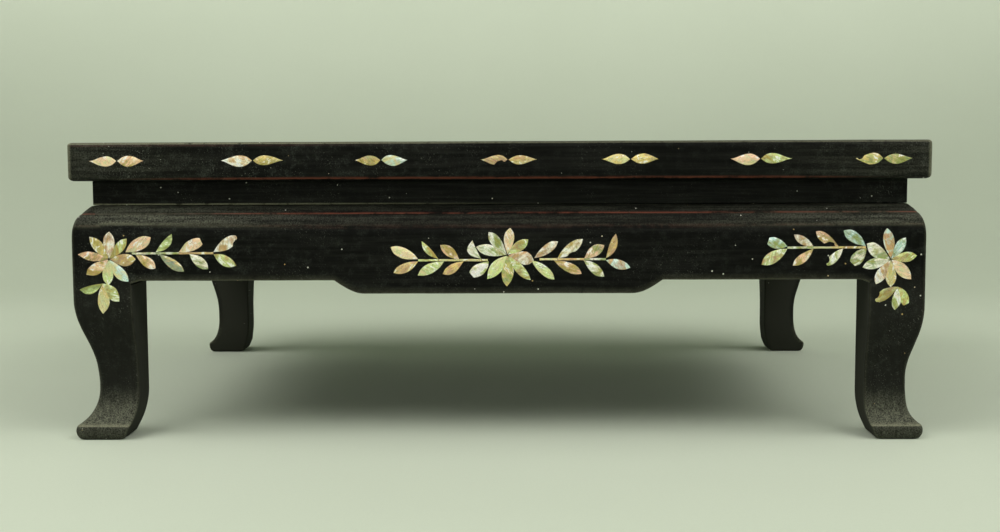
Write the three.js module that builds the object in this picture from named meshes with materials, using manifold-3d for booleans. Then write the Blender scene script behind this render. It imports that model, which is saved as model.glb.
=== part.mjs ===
// A low, fixed, four-legged stand of black-lacquered wood, inlaid with mother-of-pearl sprays.
// Millimetres. +Z is up, the front faces -Y, and the origin is on the floor under the middle.

import * as THREE from 'three';
import { mergeVertices } from 'three/addons/utils/BufferGeometryUtils.js';
import Module from 'manifold-3d';

const wasm = await Module();
wasm.setup();

// ---------------------------------------------------------------- driving dimensions

const WIDTH = 480;
const DEPTH = 366;
const HEIGHT = 168;

// Air between the faces of every fitted joint.
const FIT = 0.3;

// Framed top: four mitred rails around a floating panel.
const TOP_THICK = 21.5;
const RAIL_WIDE = 45;
const TOP_EDGE_ROUND = 2.2;
const UNDER_EDGE_ROUND = 2.8;
const CORNER_ROUND = 2.5;
const PANEL_THICK = 9.5;
const PANEL_TONGUE_LONG = 6;
const PANEL_TONGUE_THICK = 5;
const RAIL_TENON = { near: 12, far: 34, reach: 8, low: 158, high: 163 };

// Two battens run front to back under the panel, dovetailed into it.
const BATTEN_OFFSET = 75;
const BATTEN_WIDE = 22;
const DOVETAIL_NECK = 12;
const DOVETAIL_WIDE = 16;
const DOVETAIL_HIGH = 4;
const BATTEN_TENON = { long: 12, wide: 10, low: 149, high: 155 };

// Waist: a thin board set back under the top on every side, tongued above and below.
const WAIST_INSET = 10.8;
const WAIST_THICK = 8;
const WAIST_FOOT = 132;
const WAIST_TONGUE_THICK = 4;
const WAIST_TONGUE_UP = 3.5;
const WAIST_TONGUE_DOWN = 3;

// Apron: the skirt board below the waist, with a rounded shoulder and a lower middle.
const SKIRT_INSET = 1.8;
const APRON_BACK = 19;
const APRON_FOOT = 90.5;
const SHOULDER_START = 114;
const SHOULDER_EDGE = { inset: 6, z: 128.7 };
const DROP_DEEP = 7.5;
const DROP_RUN = 17;
const DROP_HALF_LONG_SIDE = 92;
const DROP_HALF_SHORT_SIDE = 66;
const SPANDREL_LONG = 7.5;
const SPANDREL_DEEP = 2;
const APRON_TENON = { near: 8, far: 13, reach: 14.6, low: 96, high: 106 };

// Leg: square stock under the corner, cut in at the ankle, with a post up into the top.
const LEG_INNER = 33;
const KNEE_Z = 78;
const ANKLE_Z = 34;
const ANKLE_RECESS = 9.2;
const TOE_Z = 8;
const POST_HIGH = 9.7;

// Mother-of-pearl: thin flat plates glued to the wood, the lacquer built up around them.
const SHELL_THICK = 0.7;
const GLUE = 0.2;
// Plates let into the top lie this far below its face, so that the face stays clear.
const SHELL_BELOW = 0.05;
// A full stem has this many leaves above it and as many below.
const LONG_STEM_PAIRS = 4;
const STEM_WIDE = 1.4;
// The stem runs this far past its last leaves, and a sprig's stalk this many times its length.
const STEM_TIP = 1.2;
const SPRIG_STALK = 1.1;
const EDGE_LEAF_WIDE = 6.6;
const EDGE_LEAF_Z = 157.8;

// Segments on each curved stretch of an outline.
const CURVE_STEPS = 5;

const TOP_UNDER = HEIGHT - TOP_THICK;
const PANEL_UNDER = HEIGHT - PANEL_THICK;
const QUARTER = Math.PI / 2;

// The four sides, each drawn as if it were the front: run is its length, half its distance out.
const SIDES = [
  { name: 'front', turn: 0, run: WIDTH, half: DEPTH / 2, dropHalf: DROP_HALF_LONG_SIDE },
  { name: 'right', turn: QUARTER, run: DEPTH, half: WIDTH / 2, dropHalf: DROP_HALF_SHORT_SIDE },
  { name: 'back', turn: 2 * QUARTER, run: WIDTH, half: DEPTH / 2, dropHalf: DROP_HALF_LONG_SIDE },
  { name: 'left', turn: -QUARTER, run: DEPTH, half: WIDTH / 2, dropHalf: DROP_HALF_SHORT_SIDE },
];

// ---------------------------------------------------------------- inlay designs

// Leaves are [distance along the stem, angle in degrees, length, width].
// Petals are [angle in degrees, length, width], and they all spring from the flower's middle.
// Stems run level from the flower; sprig is a stemless trio of leaves beside the flower.

const LEFT_CORNER_SPRAY = {
  petals: [
    [88, 15.5, 6.7], [130, 16.5, 6], [171, 17.5, 5.3], [-146, 15.5, 6.7],
    [-93, 14.5, 6.5], [-50, 16.5, 6.4], [0, 15, 7], [48, 15.5, 5.7],
  ],
  stems: [{
    rise: 3.3,
    from: 7,
    leaves: [
      [9.5, 30, 17, 7], [26.5, 48, 14, 6], [39.5, 25, 16.5, 6], [59, 34, 16.5, 6.7],
      [15, -35, 14, 6], [28.5, -35, 17, 5.3], [45.5, -39, 13.5, 6], [59, -27, 14.5, 6.4],
    ],
  }],
  sprig: { at: [-3.8, -13.7], leaves: [[-166, 13.5, 6.4], [-91, 17, 7], [-48, 13.5, 6.7]] },
};

const RIGHT_CORNER_SPRAY = {
  petals: [
    [98, 17.5, 6.4], [56, 14.5, 5.3], [8, 14.5, 5.7], [-44, 16, 6.7],
    [-89, 15.5, 6.3], [-120, 16, 6.4], [-164, 16.2, 5.8], [147, 16, 7.1],
  ],
  stems: [{
    rise: 6.7,
    from: -7,
    leaves: [
      [-14, 145, 15.5, 6.4], [-29, 147, 15.5, 5.7], [-43, 149, 13, 5], [-57.5, 162, 13, 5.7],
      [-13.5, -133, 13.5, 6.4], [-26.5, -133, 13.5, 4.8], [-43, -140, 15, 5], [-57.5, -148, 17, 6.7],
    ],
  }],
  sprig: { at: [4.3, -15.4], leaves: [[-147, 15, 5.7], [-97, 13, 5.3], [-63, 12.5, 5.3]] },
};

const CENTER_SPRAY = {
  petals: [
    [84, 15.2, 6.4], [129, 16.5, 6], [165, 18, 6.4], [-130, 17.5, 7.1],
    [-91, 17.5, 7.5], [-47, 19, 5.5], [-12, 15, 7.1], [37, 14.5, 6],
  ],
  stems: [
    {
      rise: -2.8,
      from: -5,
      leaves: [
        [-14.5, 115, 12, 6], [-27, 143, 13.5, 5.7], [-38.5, 133, 14, 5], [-50, 156, 17, 6],
        [-10.5, -141, 14.5, 6.4], [-24.5, -149, 14, 5.3], [-35.5, -152, 17, 6], [-50, -155, 15.5, 5.7],
      ],
    },
    {
      rise: -2.4,
      from: 5,
      leaves: [
        [15, 35, 16.5, 5.3], [28, 37, 18, 6], [43, 33, 13.5, 6], [55, 68, 15, 6.4],
        [13.5, -40, 17, 5.3], [26, -26, 17.5, 5.3], [42.5, -38, 15, 5.3], [55, -17, 14.5, 5.3],
      ],
    },
  ],
};

// Pairs of leaves along the edge of the top, [middle, length to the left, length to the right].
const LONG_EDGE_PAIRS = [
  [-211.9, 15.5, 14.8], [-136.2, 17.5, 17], [-64.8, 14.3, 14.7], [5.7, 15, 16],
  [73.5, 15.7, 15.4], [145.2, 16.4, 17.3], [212.8, 15.6, 15.9],
];
const SHORT_EDGE_PAIRS = [
  [-142, 15, 15.5], [-70.5, 16.5, 15], [0.5, 15, 16], [71, 15.5, 14.8], [142.5, 16, 15.6],
];

// Where the sprays' flowers sit: distance in from the side's end, and height.
const CORNER_FLOWER_IN = 21.6;
const LEFT_FLOWER_Z = 102.8;
const RIGHT_FLOWER_Z = 101.7;
const CENTER_FLOWER_SHIFT = 5.2;
const CENTER_FLOWER_Z = 104.6;
const TOP_FLOWER_IN = 66;

// ---------------------------------------------------------------- solids

// Turns a closed geometry into a solid that can be joined and cut.
function solidOf(geometry) {
  geometry.deleteAttribute('normal');
  geometry.deleteAttribute('uv');
  const merged = mergeVertices(geometry, 1e-4);
  return new wasm.Manifold(new wasm.Mesh({
    numProp: 3,
    vertProperties: new Float32Array(merged.attributes.position.array),
    triVerts: new Uint32Array(merged.index.array),
  }));
}

function geometryOf(solid) {
  const mesh = solid.getMesh();
  const geometry = new THREE.BufferGeometry();
  geometry.setAttribute('position', new THREE.BufferAttribute(mesh.vertProperties, 3));
  geometry.setIndex(new THREE.BufferAttribute(mesh.triVerts, 1));
  geometry.computeVertexNormals();
  return geometry;
}

function outlineOf(points) {
  return new THREE.Shape(points.map(([u, v]) => new THREE.Vector2(u, v)));
}

// Sweeps an outline along one axis. It is drawn in Y and Z for x, X and Z for y, X and Y for z.
function sweep(outline, axis, from, to) {
  const geometry = new THREE.ExtrudeGeometry(outline, {
    depth: to - from,
    bevelEnabled: false,
    curveSegments: CURVE_STEPS,
  });
  if (axis === 'x') {
    geometry.rotateX(QUARTER);
    geometry.rotateZ(QUARTER);
    geometry.translate(from, 0, 0);
  } else if (axis === 'y') {
    geometry.rotateX(QUARTER);
    geometry.translate(0, to, 0);
  } else {
    geometry.translate(0, 0, from);
  }
  return solidOf(geometry);
}

function block([x0, x1], [y0, y1], [z0, z1]) {
  const geometry = new THREE.BoxGeometry(x1 - x0, y1 - y0, z1 - z0);
  geometry.translate((x0 + x1) / 2, (y0 + y1) / 2, (z0 + z1) / 2);
  return solidOf(geometry);
}

// ---------------------------------------------------------------- materials

function lacquer() {
  return new THREE.MeshStandardMaterial({ color: 0x14100e, roughness: 0.42, metalness: 0 });
}

function innerWood() {
  return new THREE.MeshStandardMaterial({ color: 0x2c1d14, roughness: 0.8, metalness: 0 });
}

function shell() {
  return new THREE.MeshStandardMaterial({ color: 0xc9c6ab, roughness: 0.3, metalness: 0.1 });
}

function piece(name, solid, material) {
  const mesh = new THREE.Mesh(geometryOf(solid), material);
  mesh.name = name;
  return mesh;
}

// ---------------------------------------------------------------- top

// Everything in plan between two 45 degree mitres that start at the ends of a side.
function mitredPlan(side, near, far, low, high) {
  const gap = FIT / Math.SQRT2;
  const end = side.run / 2 - gap;
  return sweep(outlineOf([
    [-end + near, -side.half + near], [end - near, -side.half + near],
    [end - far, -side.half + far], [-end + far, -side.half + far],
  ]), 'z', low, high);
}

// The whole top in plan, with its four corners rounded, one step to each side of the diagonal.
function roundedPlan(side) {
  const x = side.run / 2;
  const y = side.half;
  const r = CORNER_ROUND;
  const plan = new THREE.Shape();
  plan.moveTo(-x + r, -y);
  plan.lineTo(x - r, -y);
  plan.quadraticCurveTo(x, -y, x, -y + r);
  plan.lineTo(x, y - r);
  plan.quadraticCurveTo(x, y, x - r, y);
  plan.lineTo(-x + r, y);
  plan.quadraticCurveTo(-x, y, -x, y - r);
  plan.lineTo(-x, -y + r);
  plan.quadraticCurveTo(-x, -y, -x + r, -y);
  return sweep(plan, 'z', TOP_UNDER, HEIGHT);
}

// Rail section: rounded outer edges, a groove for the waist below and one for the panel inside.
function railSection(side) {
  const outer = -side.half;
  const inner = outer + RAIL_WIDE;
  const waistMiddle = outer + WAIST_INSET + WAIST_THICK / 2;
  const grooveHalf = WAIST_TONGUE_THICK / 2 + FIT;
  const grooveTop = TOP_UNDER + WAIST_TONGUE_UP + FIT;
  const slotBack = inner - PANEL_TONGUE_LONG - FIT;
  const slotTop = PANEL_UNDER + PANEL_TONGUE_THICK + FIT;
  const section = new THREE.Shape();
  section.moveTo(outer + UNDER_EDGE_ROUND, TOP_UNDER);
  section.lineTo(waistMiddle - grooveHalf, TOP_UNDER);
  section.lineTo(waistMiddle - grooveHalf, grooveTop);
  section.lineTo(waistMiddle + grooveHalf, grooveTop);
  section.lineTo(waistMiddle + grooveHalf, TOP_UNDER);
  section.lineTo(inner, TOP_UNDER);
  section.lineTo(inner, PANEL_UNDER - FIT);
  section.lineTo(slotBack, PANEL_UNDER - FIT);
  section.lineTo(slotBack, slotTop);
  section.lineTo(inner, slotTop);
  section.lineTo(inner, HEIGHT);
  section.lineTo(outer + TOP_EDGE_ROUND, HEIGHT);
  section.quadraticCurveTo(outer, HEIGHT, outer, HEIGHT - TOP_EDGE_ROUND);
  section.lineTo(outer, TOP_UNDER + UNDER_EDGE_ROUND);
  section.quadraticCurveTo(outer, TOP_UNDER, outer + UNDER_EDGE_ROUND, TOP_UNDER);
  return section;
}

// One end's tenon, past the mitre. room widens it all round to make the mortise instead.
function railTenon(run, half, end, room) {
  const tip = end * (run / 2 - RAIL_TENON.reach + room);
  const root = end * (run / 2 - RAIL_WIDE);
  return block(
    [Math.min(tip, root), Math.max(tip, root)],
    [-half + RAIL_TENON.near - room, -half + RAIL_TENON.far + room],
    [RAIL_TENON.low - room, RAIL_TENON.high + room],
  );
}

// The mortise in a side rail, which is the end rail's tenon seen from the side rail's own side.
function railMortise(side, end) {
  const edge = end * side.run / 2;
  const near = edge - end * (RAIL_TENON.near - FIT);
  const far = edge - end * (RAIL_TENON.far + FIT);
  return block(
    [Math.min(near, far), Math.max(near, far)],
    [-side.half + RAIL_TENON.reach - FIT, -side.half + RAIL_WIDE + 1],
    [RAIL_TENON.low - FIT, RAIL_TENON.high + FIT],
  );
}

// The pocket in the corner of the frame for a leg's post.
function postMortise(side, end) {
  const near = APRON_BACK;
  const far = LEG_INNER + FIT;
  const edge = end * side.run / 2;
  const xs = [edge - end * near, edge - end * far].sort((a, b) => a - b);
  return block(xs, [-side.half + near, -side.half + far], [TOP_UNDER - 1, TOP_UNDER + POST_HIGH + FIT]);
}

function battenMortise(side, end) {
  const middle = end * BATTEN_OFFSET;
  const halfWide = BATTEN_TENON.wide / 2 + FIT;
  const inner = -side.half + RAIL_WIDE;
  return block(
    [middle - halfWide, middle + halfWide],
    [inner - BATTEN_TENON.long - FIT, inner + 1],
    [BATTEN_TENON.low - FIT, BATTEN_TENON.high + FIT],
  );
}

function topRail(side, pairs) {
  const isLong = side.run === WIDTH;
  let rail = sweep(railSection(side), 'x', -side.run / 2, side.run / 2)
    .intersect(mitredPlan(side, 0, RAIL_WIDE, TOP_UNDER, HEIGHT))
    .intersect(roundedPlan(side));
  for (const end of [-1, 1]) {
    if (isLong) {
      rail = rail.add(railTenon(side.run, side.half, end, 0)).subtract(battenMortise(side, end));
    } else {
      rail = rail.subtract(railMortise(side, end));
    }
    rail = rail.subtract(postMortise(side, end));
  }
  for (const pair of pairs) {
    rail = rail.subtract(edgePairPocket(side, pair));
  }
  return rail;
}

function topPanel() {
  const x = WIDTH / 2 - RAIL_WIDE;
  const y = DEPTH / 2 - RAIL_WIDE;
  const reach = PANEL_TONGUE_LONG;
  let panel = block([-x + FIT, x - FIT], [-y + FIT, y - FIT], [PANEL_UNDER, HEIGHT]);
  panel = panel.add(block(
    [-x - reach, x + reach],
    [-y - reach, y + reach],
    [PANEL_UNDER, PANEL_UNDER + PANEL_TONGUE_THICK],
  ));
  for (const end of [-1, 1]) {
    panel = panel.subtract(sweep(dovetail(end, FIT), 'y', -y - reach - 1, y + reach + 1));
  }
  const pocketFoot = HEIGHT - SHELL_BELOW - SHELL_THICK - GLUE;
  for (const { design, at } of TOP_SPRAYS) {
    const outlines = sprayOutlines(design, LONG_STEM_PAIRS, at, FIT);
    panel = panel.subtract(plateOf(outlines, pocketFoot, HEIGHT + 1));
  }
  return panel;
}

// Dovetail section, wider at its top, where it is locked in the panel.
function dovetail(end, room) {
  const middle = end * BATTEN_OFFSET;
  const neck = DOVETAIL_NECK / 2 + room;
  const wide = DOVETAIL_WIDE / 2 + room;
  const low = PANEL_UNDER - 2 * FIT;
  const high = PANEL_UNDER + DOVETAIL_HIGH - FIT + room;
  return outlineOf([
    [middle - neck, low], [middle + neck, low], [middle + wide, high], [middle - wide, high],
  ]);
}

function topBatten(end) {
  const middle = end * BATTEN_OFFSET;
  const long = DEPTH / 2 - RAIL_WIDE - FIT;
  const tenonLong = DEPTH / 2 - RAIL_WIDE + BATTEN_TENON.long;
  const halfWide = BATTEN_WIDE / 2;
  const tenonHalf = BATTEN_TENON.wide / 2;
  return block([middle - halfWide, middle + halfWide], [-long, long], [TOP_UNDER, PANEL_UNDER - FIT])
    .add(sweep(dovetail(end, 0), 'y', -long, long))
    .add(block(
      [middle - tenonHalf, middle + tenonHalf],
      [-tenonLong, tenonLong],
      [BATTEN_TENON.low, BATTEN_TENON.high],
    ));
}

// ---------------------------------------------------------------- waist and apron

function waist(side) {
  const outer = -side.half + WAIST_INSET;
  const inner = outer + WAIST_THICK;
  const middle = (outer + inner) / 2;
  const tongue = WAIST_TONGUE_THICK / 2;
  const high = TOP_UNDER - FIT;
  const section = outlineOf([
    [outer, WAIST_FOOT], [middle - tongue, WAIST_FOOT],
    [middle - tongue, WAIST_FOOT - WAIST_TONGUE_DOWN], [middle + tongue, WAIST_FOOT - WAIST_TONGUE_DOWN],
    [middle + tongue, WAIST_FOOT], [inner, WAIST_FOOT], [inner, high], [middle + tongue, high],
    [middle + tongue, TOP_UNDER + WAIST_TONGUE_UP], [middle - tongue, TOP_UNDER + WAIST_TONGUE_UP],
    [middle - tongue, high], [outer, high],
  ]);
  const low = WAIST_FOOT - WAIST_TONGUE_DOWN;
  return sweep(section, 'x', -side.run / 2, side.run / 2)
    .intersect(mitredPlan(side, 0, RAIL_WIDE, low, TOP_UNDER + WAIST_TONGUE_UP));
}

// The rounded shoulder from the upright face up to the waist, for an apron or a leg.
function drawShoulder(outline, outer) {
  const face = outer + SKIRT_INSET;
  outline.lineTo(face, SHOULDER_START);
  outline.bezierCurveTo(face, 121, outer + 3.4, 126, outer + SHOULDER_EDGE.inset, SHOULDER_EDGE.z);
  outline.lineTo(outer + WAIST_INSET, WAIST_FOOT - FIT);
}

// Apron section with the groove for the waist's lower tongue.
function apronSection(side) {
  const outer = -side.half;
  const waistMiddle = outer + WAIST_INSET + WAIST_THICK / 2;
  const grooveHalf = WAIST_TONGUE_THICK / 2 + FIT;
  const grooveFoot = WAIST_FOOT - WAIST_TONGUE_DOWN - FIT;
  const low = APRON_FOOT - DROP_DEEP;
  const section = new THREE.Shape();
  section.moveTo(outer + APRON_BACK, low);
  section.lineTo(outer + APRON_BACK, WAIST_FOOT - FIT);
  section.lineTo(waistMiddle + grooveHalf, WAIST_FOOT - FIT);
  section.lineTo(waistMiddle + grooveHalf, grooveFoot);
  section.lineTo(waistMiddle - grooveHalf, grooveFoot);
  section.lineTo(waistMiddle - grooveHalf, WAIST_FOOT - FIT);
  section.lineTo(outer + WAIST_INSET, WAIST_FOOT - FIT);
  section.lineTo(outer + SHOULDER_EDGE.inset, SHOULDER_EDGE.z);
  section.bezierCurveTo(
    outer + 3.4, 126,
    outer + SKIRT_INSET, 121,
    outer + SKIRT_INSET, SHOULDER_START,
  );
  section.lineTo(outer + SKIRT_INSET, low);
  return section;
}

// Apron seen from its side: the dropped middle, a spandrel at each leg, and slanting ends
// that rise from the leg's inner face to the waist.
function apronElevation(side) {
  const end = side.run / 2;
  const legFace = end - LEG_INNER - FIT;
  const drop = APRON_FOOT - DROP_DEEP;
  const dropStart = side.dropHalf;
  const dropEnd = side.dropHalf - DROP_RUN;
  const third = DROP_RUN / 3;
  const halfDrop = APRON_FOOT - DROP_DEEP / 2;
  const outline = new THREE.Shape();
  outline.moveTo(-legFace, APRON_FOOT - SPANDREL_DEEP);
  outline.quadraticCurveTo(-legFace + 2.5, APRON_FOOT, -legFace + SPANDREL_LONG, APRON_FOOT);
  outline.lineTo(-dropStart, APRON_FOOT);
  outline.bezierCurveTo(-dropStart + third, halfDrop, -dropEnd - third, drop, -dropEnd, drop);
  outline.lineTo(dropEnd, drop);
  outline.bezierCurveTo(dropEnd + third, drop, dropStart - third, halfDrop, dropStart, APRON_FOOT);
  outline.lineTo(legFace - SPANDREL_LONG, APRON_FOOT);
  outline.quadraticCurveTo(legFace - 2.5, APRON_FOOT, legFace, APRON_FOOT - SPANDREL_DEEP);
  outline.lineTo(legFace, APRON_FOOT);
  outline.lineTo(end - WAIST_INSET - FIT, WAIST_FOOT);
  outline.lineTo(-end + WAIST_INSET + FIT, WAIST_FOOT);
  outline.lineTo(-legFace, APRON_FOOT);
  return outline;
}

function apron(side) {
  const low = APRON_FOOT - DROP_DEEP;
  let board = sweep(apronSection(side), 'x', -side.run / 2, side.run / 2)
    .intersect(sweep(apronElevation(side), 'y', -side.half, -side.half + APRON_BACK))
    .intersect(mitredPlan(side, 0, RAIL_WIDE, low, WAIST_FOOT));
  for (const end of [-1, 1]) {
    const tip = end * (side.run / 2 - APRON_TENON.reach);
    const root = end * (side.run / 2 - LEG_INNER - 2);
    board = board.add(block(
      [Math.min(tip, root), Math.max(tip, root)],
      [-side.half + APRON_TENON.near, -side.half + APRON_TENON.far],
      [APRON_TENON.low, APRON_TENON.high],
    ));
  }
  return board;
}

// ---------------------------------------------------------------- leg

// Leg seen from one side, measured in from its outer corner: shoulder, knee, ankle, toe and heel.
function legProfile() {
  const face = SKIRT_INSET;
  const ankle = SKIRT_INSET + ANKLE_RECESS;
  const profile = new THREE.Shape();
  profile.moveTo(face + 1.8, 0);
  profile.bezierCurveTo(face - 1.1, 1.2, face - 1.5, 6.5, face + 0.1, TOE_Z);
  profile.bezierCurveTo(face + 7.5, 12.5, ankle, 20, ankle, ANKLE_Z);
  profile.bezierCurveTo(ankle, 52, face, 60.5, face, KNEE_Z);
  drawShoulder(profile, 0);
  profile.lineTo(LEG_INNER, WAIST_FOOT - FIT);
  profile.lineTo(LEG_INNER, 24);
  profile.bezierCurveTo(LEG_INNER, 16, 31.6, 9, 28.8, 3);
  profile.quadraticCurveTo(27.7, 0.3, 25.5, 0);
  return profile;
}

// What the apron's slanting end takes from the leg, with the joint's air.
function shoulderCut() {
  const slope = (LEG_INNER - WAIST_INSET) / (WAIST_FOOT - APRON_FOOT);
  const overrun = 4;
  return outlineOf([
    [LEG_INNER + overrun * slope, APRON_FOOT - overrun],
    [LEG_INNER + 20, APRON_FOOT - overrun],
    [LEG_INNER + 20, WAIST_FOOT + overrun],
    [WAIST_INSET - overrun * slope, WAIST_FOOT + overrun],
  ]);
}

// One leg in the corner where X and Y both count inwards from its outer faces.
function leg() {
  const reach = LEG_INNER + 1;
  const cut = shoulderCut();
  const tenonAcross = [APRON_TENON.near - FIT, APRON_TENON.far + FIT];
  const tenonAlong = [APRON_TENON.reach - FIT, reach];
  const tenonHigh = [APRON_TENON.low - FIT, APRON_TENON.high + FIT];
  const post = [APRON_BACK + FIT, LEG_INNER];
  return sweep(legProfile(), 'y', 0, LEG_INNER)
    .intersect(sweep(legProfile(), 'x', 0, LEG_INNER))
    .subtract(sweep(cut, 'y', -1, APRON_BACK + FIT))
    .subtract(sweep(cut, 'x', -1, APRON_BACK + FIT))
    .add(block(post, post, [APRON_FOOT, TOP_UNDER + POST_HIGH]))
    .subtract(block(tenonAlong, tenonAcross, tenonHigh))
    .subtract(block(tenonAcross, tenonAlong, tenonHigh));
}

// ---------------------------------------------------------------- inlay

// A pointed leaf with six corners, drawn from its base along an angle; grow widens it all round.
function leafOutline([x, y], degrees, length, width, grow) {
  const corners = [
    [0, 0], [0.28, -0.42], [0.62, -0.45], [1, 0], [0.62, 0.45], [0.28, 0.42],
  ];
  const angle = THREE.MathUtils.degToRad(degrees);
  return outlineOf(corners.map(([along, across]) => {
    const u = along * (length + 4.5 * grow) - 2 * grow;
    const v = across * (width + 3 * grow);
    return [
      x + u * Math.cos(angle) - v * Math.sin(angle),
      y + u * Math.sin(angle) + v * Math.cos(angle),
    ];
  }));
}

// A narrow straight strip between two points.
function stripOutline([x0, y0], [x1, y1], grow) {
  const long = Math.hypot(x1 - x0, y1 - y0);
  const alongX = (x1 - x0) / long;
  const alongY = (y1 - y0) / long;
  const half = STEM_WIDE / 2 + grow;
  const u = alongX * half;
  const v = alongY * half;
  const endX = x1 + alongX * grow;
  const endY = y1 + alongY * grow;
  return outlineOf([
    [x0 + v, y0 - u], [endX + v, endY - u], [endX - v, endY + u], [x0 - v, y0 + u],
  ]);
}

// Every petal, leaf and stem of a spray, flat in X and Y, with its flower's middle at the point given.
function sprayOutlines(design, pairCount, [x, y] = [0, 0], grow = 0) {
  const outlines = design.petals.map(([angle, length, width]) => (
    leafOutline([x, y], angle, length, width, grow)
  ));
  for (const stem of design.stems) {
    const level = y + stem.rise;
    const kept = keptLeaves(stem.leaves, pairCount);
    const tip = Math.max(...kept.map(([along]) => Math.abs(along))) + STEM_TIP;
    outlines.push(stripOutline([x + stem.from, level], [x + Math.sign(stem.from) * tip, level], grow));
    for (const [along, angle, length, width] of kept) {
      outlines.push(leafOutline([x + along, level], angle, length, width, grow));
    }
  }
  if (design.sprig) {
    const [atX, atY] = design.sprig.at;
    outlines.push(stripOutline([x, y], [x + atX * SPRIG_STALK, y + atY * SPRIG_STALK], grow));
    for (const [angle, length, width] of design.sprig.leaves) {
      outlines.push(leafOutline([x + atX, y + atY], angle, length, width, grow));
    }
  }
  return outlines;
}

// Joins overlapping outlines into one flat plate.
function plateOf(outlines, low, high) {
  const parts = outlines.map((outline) => sweep(outline, 'z', low, high));
  return parts.reduce((joined, part) => joined.add(part));
}

// The first leaves above and below a stem.
function keptLeaves(leaves, pairCount) {
  const above = leaves.slice(0, LONG_STEM_PAIRS).slice(0, pairCount);
  const below = leaves.slice(LONG_STEM_PAIRS).slice(0, pairCount);
  return [...above, ...below];
}

// The same spray turned over left to right.
function mirrored(design) {
  const flip = (angle) => 180 - angle;
  return {
    petals: design.petals.map(([angle, length, width]) => [flip(angle), length, width]),
    stems: design.stems.map((stem) => ({
      rise: stem.rise,
      from: -stem.from,
      leaves: stem.leaves.map(([along, angle, length, width]) => [-along, flip(angle), length, width]),
    })),
    sprig: design.sprig && {
      at: [-design.sprig.at[0], design.sprig.at[1]],
      leaves: design.sprig.leaves.map(([angle, length, width]) => [flip(angle), length, width]),
    },
  };
}

// The same spray turned over top to bottom.
function upended(design) {
  const turned = mirrored(design);
  return {
    petals: turned.petals.map(([angle, length, width]) => [angle + 180, length, width]),
    stems: turned.stems.map((stem) => ({
      rise: -stem.rise,
      from: -stem.from,
      leaves: stem.leaves.map(([along, angle, length, width]) => [-along, angle + 180, length, width]),
    })),
    sprig: turned.sprig && {
      at: [-turned.sprig.at[0], -turned.sprig.at[1]],
      leaves: turned.sprig.leaves.map(([angle, length, width]) => [angle + 180, length, width]),
    },
  };
}

// The sprays let into the top panel: one in each corner and one in the middle.
const topCornerX = WIDTH / 2 - TOP_FLOWER_IN;
const topCornerY = DEPTH / 2 - TOP_FLOWER_IN;
const frontCornerSpray = upended(LEFT_CORNER_SPRAY);
const TOP_SPRAYS = [
  { place: 'front_left', design: frontCornerSpray, at: [-topCornerX, -topCornerY] },
  { place: 'front_right', design: mirrored(frontCornerSpray), at: [topCornerX, -topCornerY] },
  { place: 'back_left', design: LEFT_CORNER_SPRAY, at: [-topCornerX, topCornerY] },
  { place: 'back_right', design: mirrored(LEFT_CORNER_SPRAY), at: [topCornerX, topCornerY] },
  { place: 'center', design: CENTER_SPRAY, at: [0, 0] },
];

// Two leaves tip to tip in one outline; grow widens it all round.
function edgePairOutline(leftLong, rightLong, grow) {
  const half = EDGE_LEAF_WIDE / 2 + grow;
  const neck = 0.6 + grow;
  return outlineOf([
    [-leftLong - grow, 0], [-0.6 * leftLong, -0.7 * half], [-0.3 * leftLong, -half], [0, -neck],
    [0.3 * rightLong, -half], [0.6 * rightLong, -0.7 * half], [rightLong + grow, 0],
    [0.6 * rightLong, 0.7 * half], [0.3 * rightLong, half], [0, neck],
    [-0.3 * leftLong, half], [-0.6 * leftLong, 0.7 * half],
  ]);
}

function edgePairPocket(side, [middle, leftLong, rightLong]) {
  const deep = SHELL_THICK + GLUE;
  const geometry = new THREE.ExtrudeGeometry(edgePairOutline(leftLong, rightLong, FIT), {
    depth: deep + 1,
    bevelEnabled: false,
  });
  geometry.rotateX(QUARTER);
  geometry.translate(middle, -side.half + deep, EDGE_LEAF_Z);
  return solidOf(geometry);
}

// ---------------------------------------------------------------- assembly

const stand = new THREE.Group();

function edgePairsOf(side) {
  return side.run === WIDTH ? LONG_EDGE_PAIRS : SHORT_EDGE_PAIRS;
}

// Stands a plate up on a side's face, its back towards the wood.
function hang(mesh, x, y, z) {
  mesh.rotation.x = QUARTER;
  mesh.position.set(x, y, z);
  return mesh;
}

function sideSprays(side) {
  const isLong = side.run === WIDTH;
  const cornerPairs = isLong ? LONG_STEM_PAIRS : 3;
  const centerPairs = isLong ? LONG_STEM_PAIRS : 2;
  const shift = isLong ? CENTER_FLOWER_SHIFT : 0;
  const cornerX = side.run / 2 - CORNER_FLOWER_IN;
  const face = -side.half + SKIRT_INSET - GLUE;
  const plates = [
    ['left', LEFT_CORNER_SPRAY, cornerPairs, -cornerX, LEFT_FLOWER_Z],
    ['center', CENTER_SPRAY, centerPairs, shift, CENTER_FLOWER_Z],
    ['right', RIGHT_CORNER_SPRAY, cornerPairs, cornerX, RIGHT_FLOWER_Z],
  ];
  return plates.map(([place, design, pairCount, x, z]) => {
    const solid = plateOf(sprayOutlines(design, pairCount), 0, SHELL_THICK);
    return hang(piece(`inlay_${side.name}_${place}_spray`, solid, shell()), x, face, z);
  });
}

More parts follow.
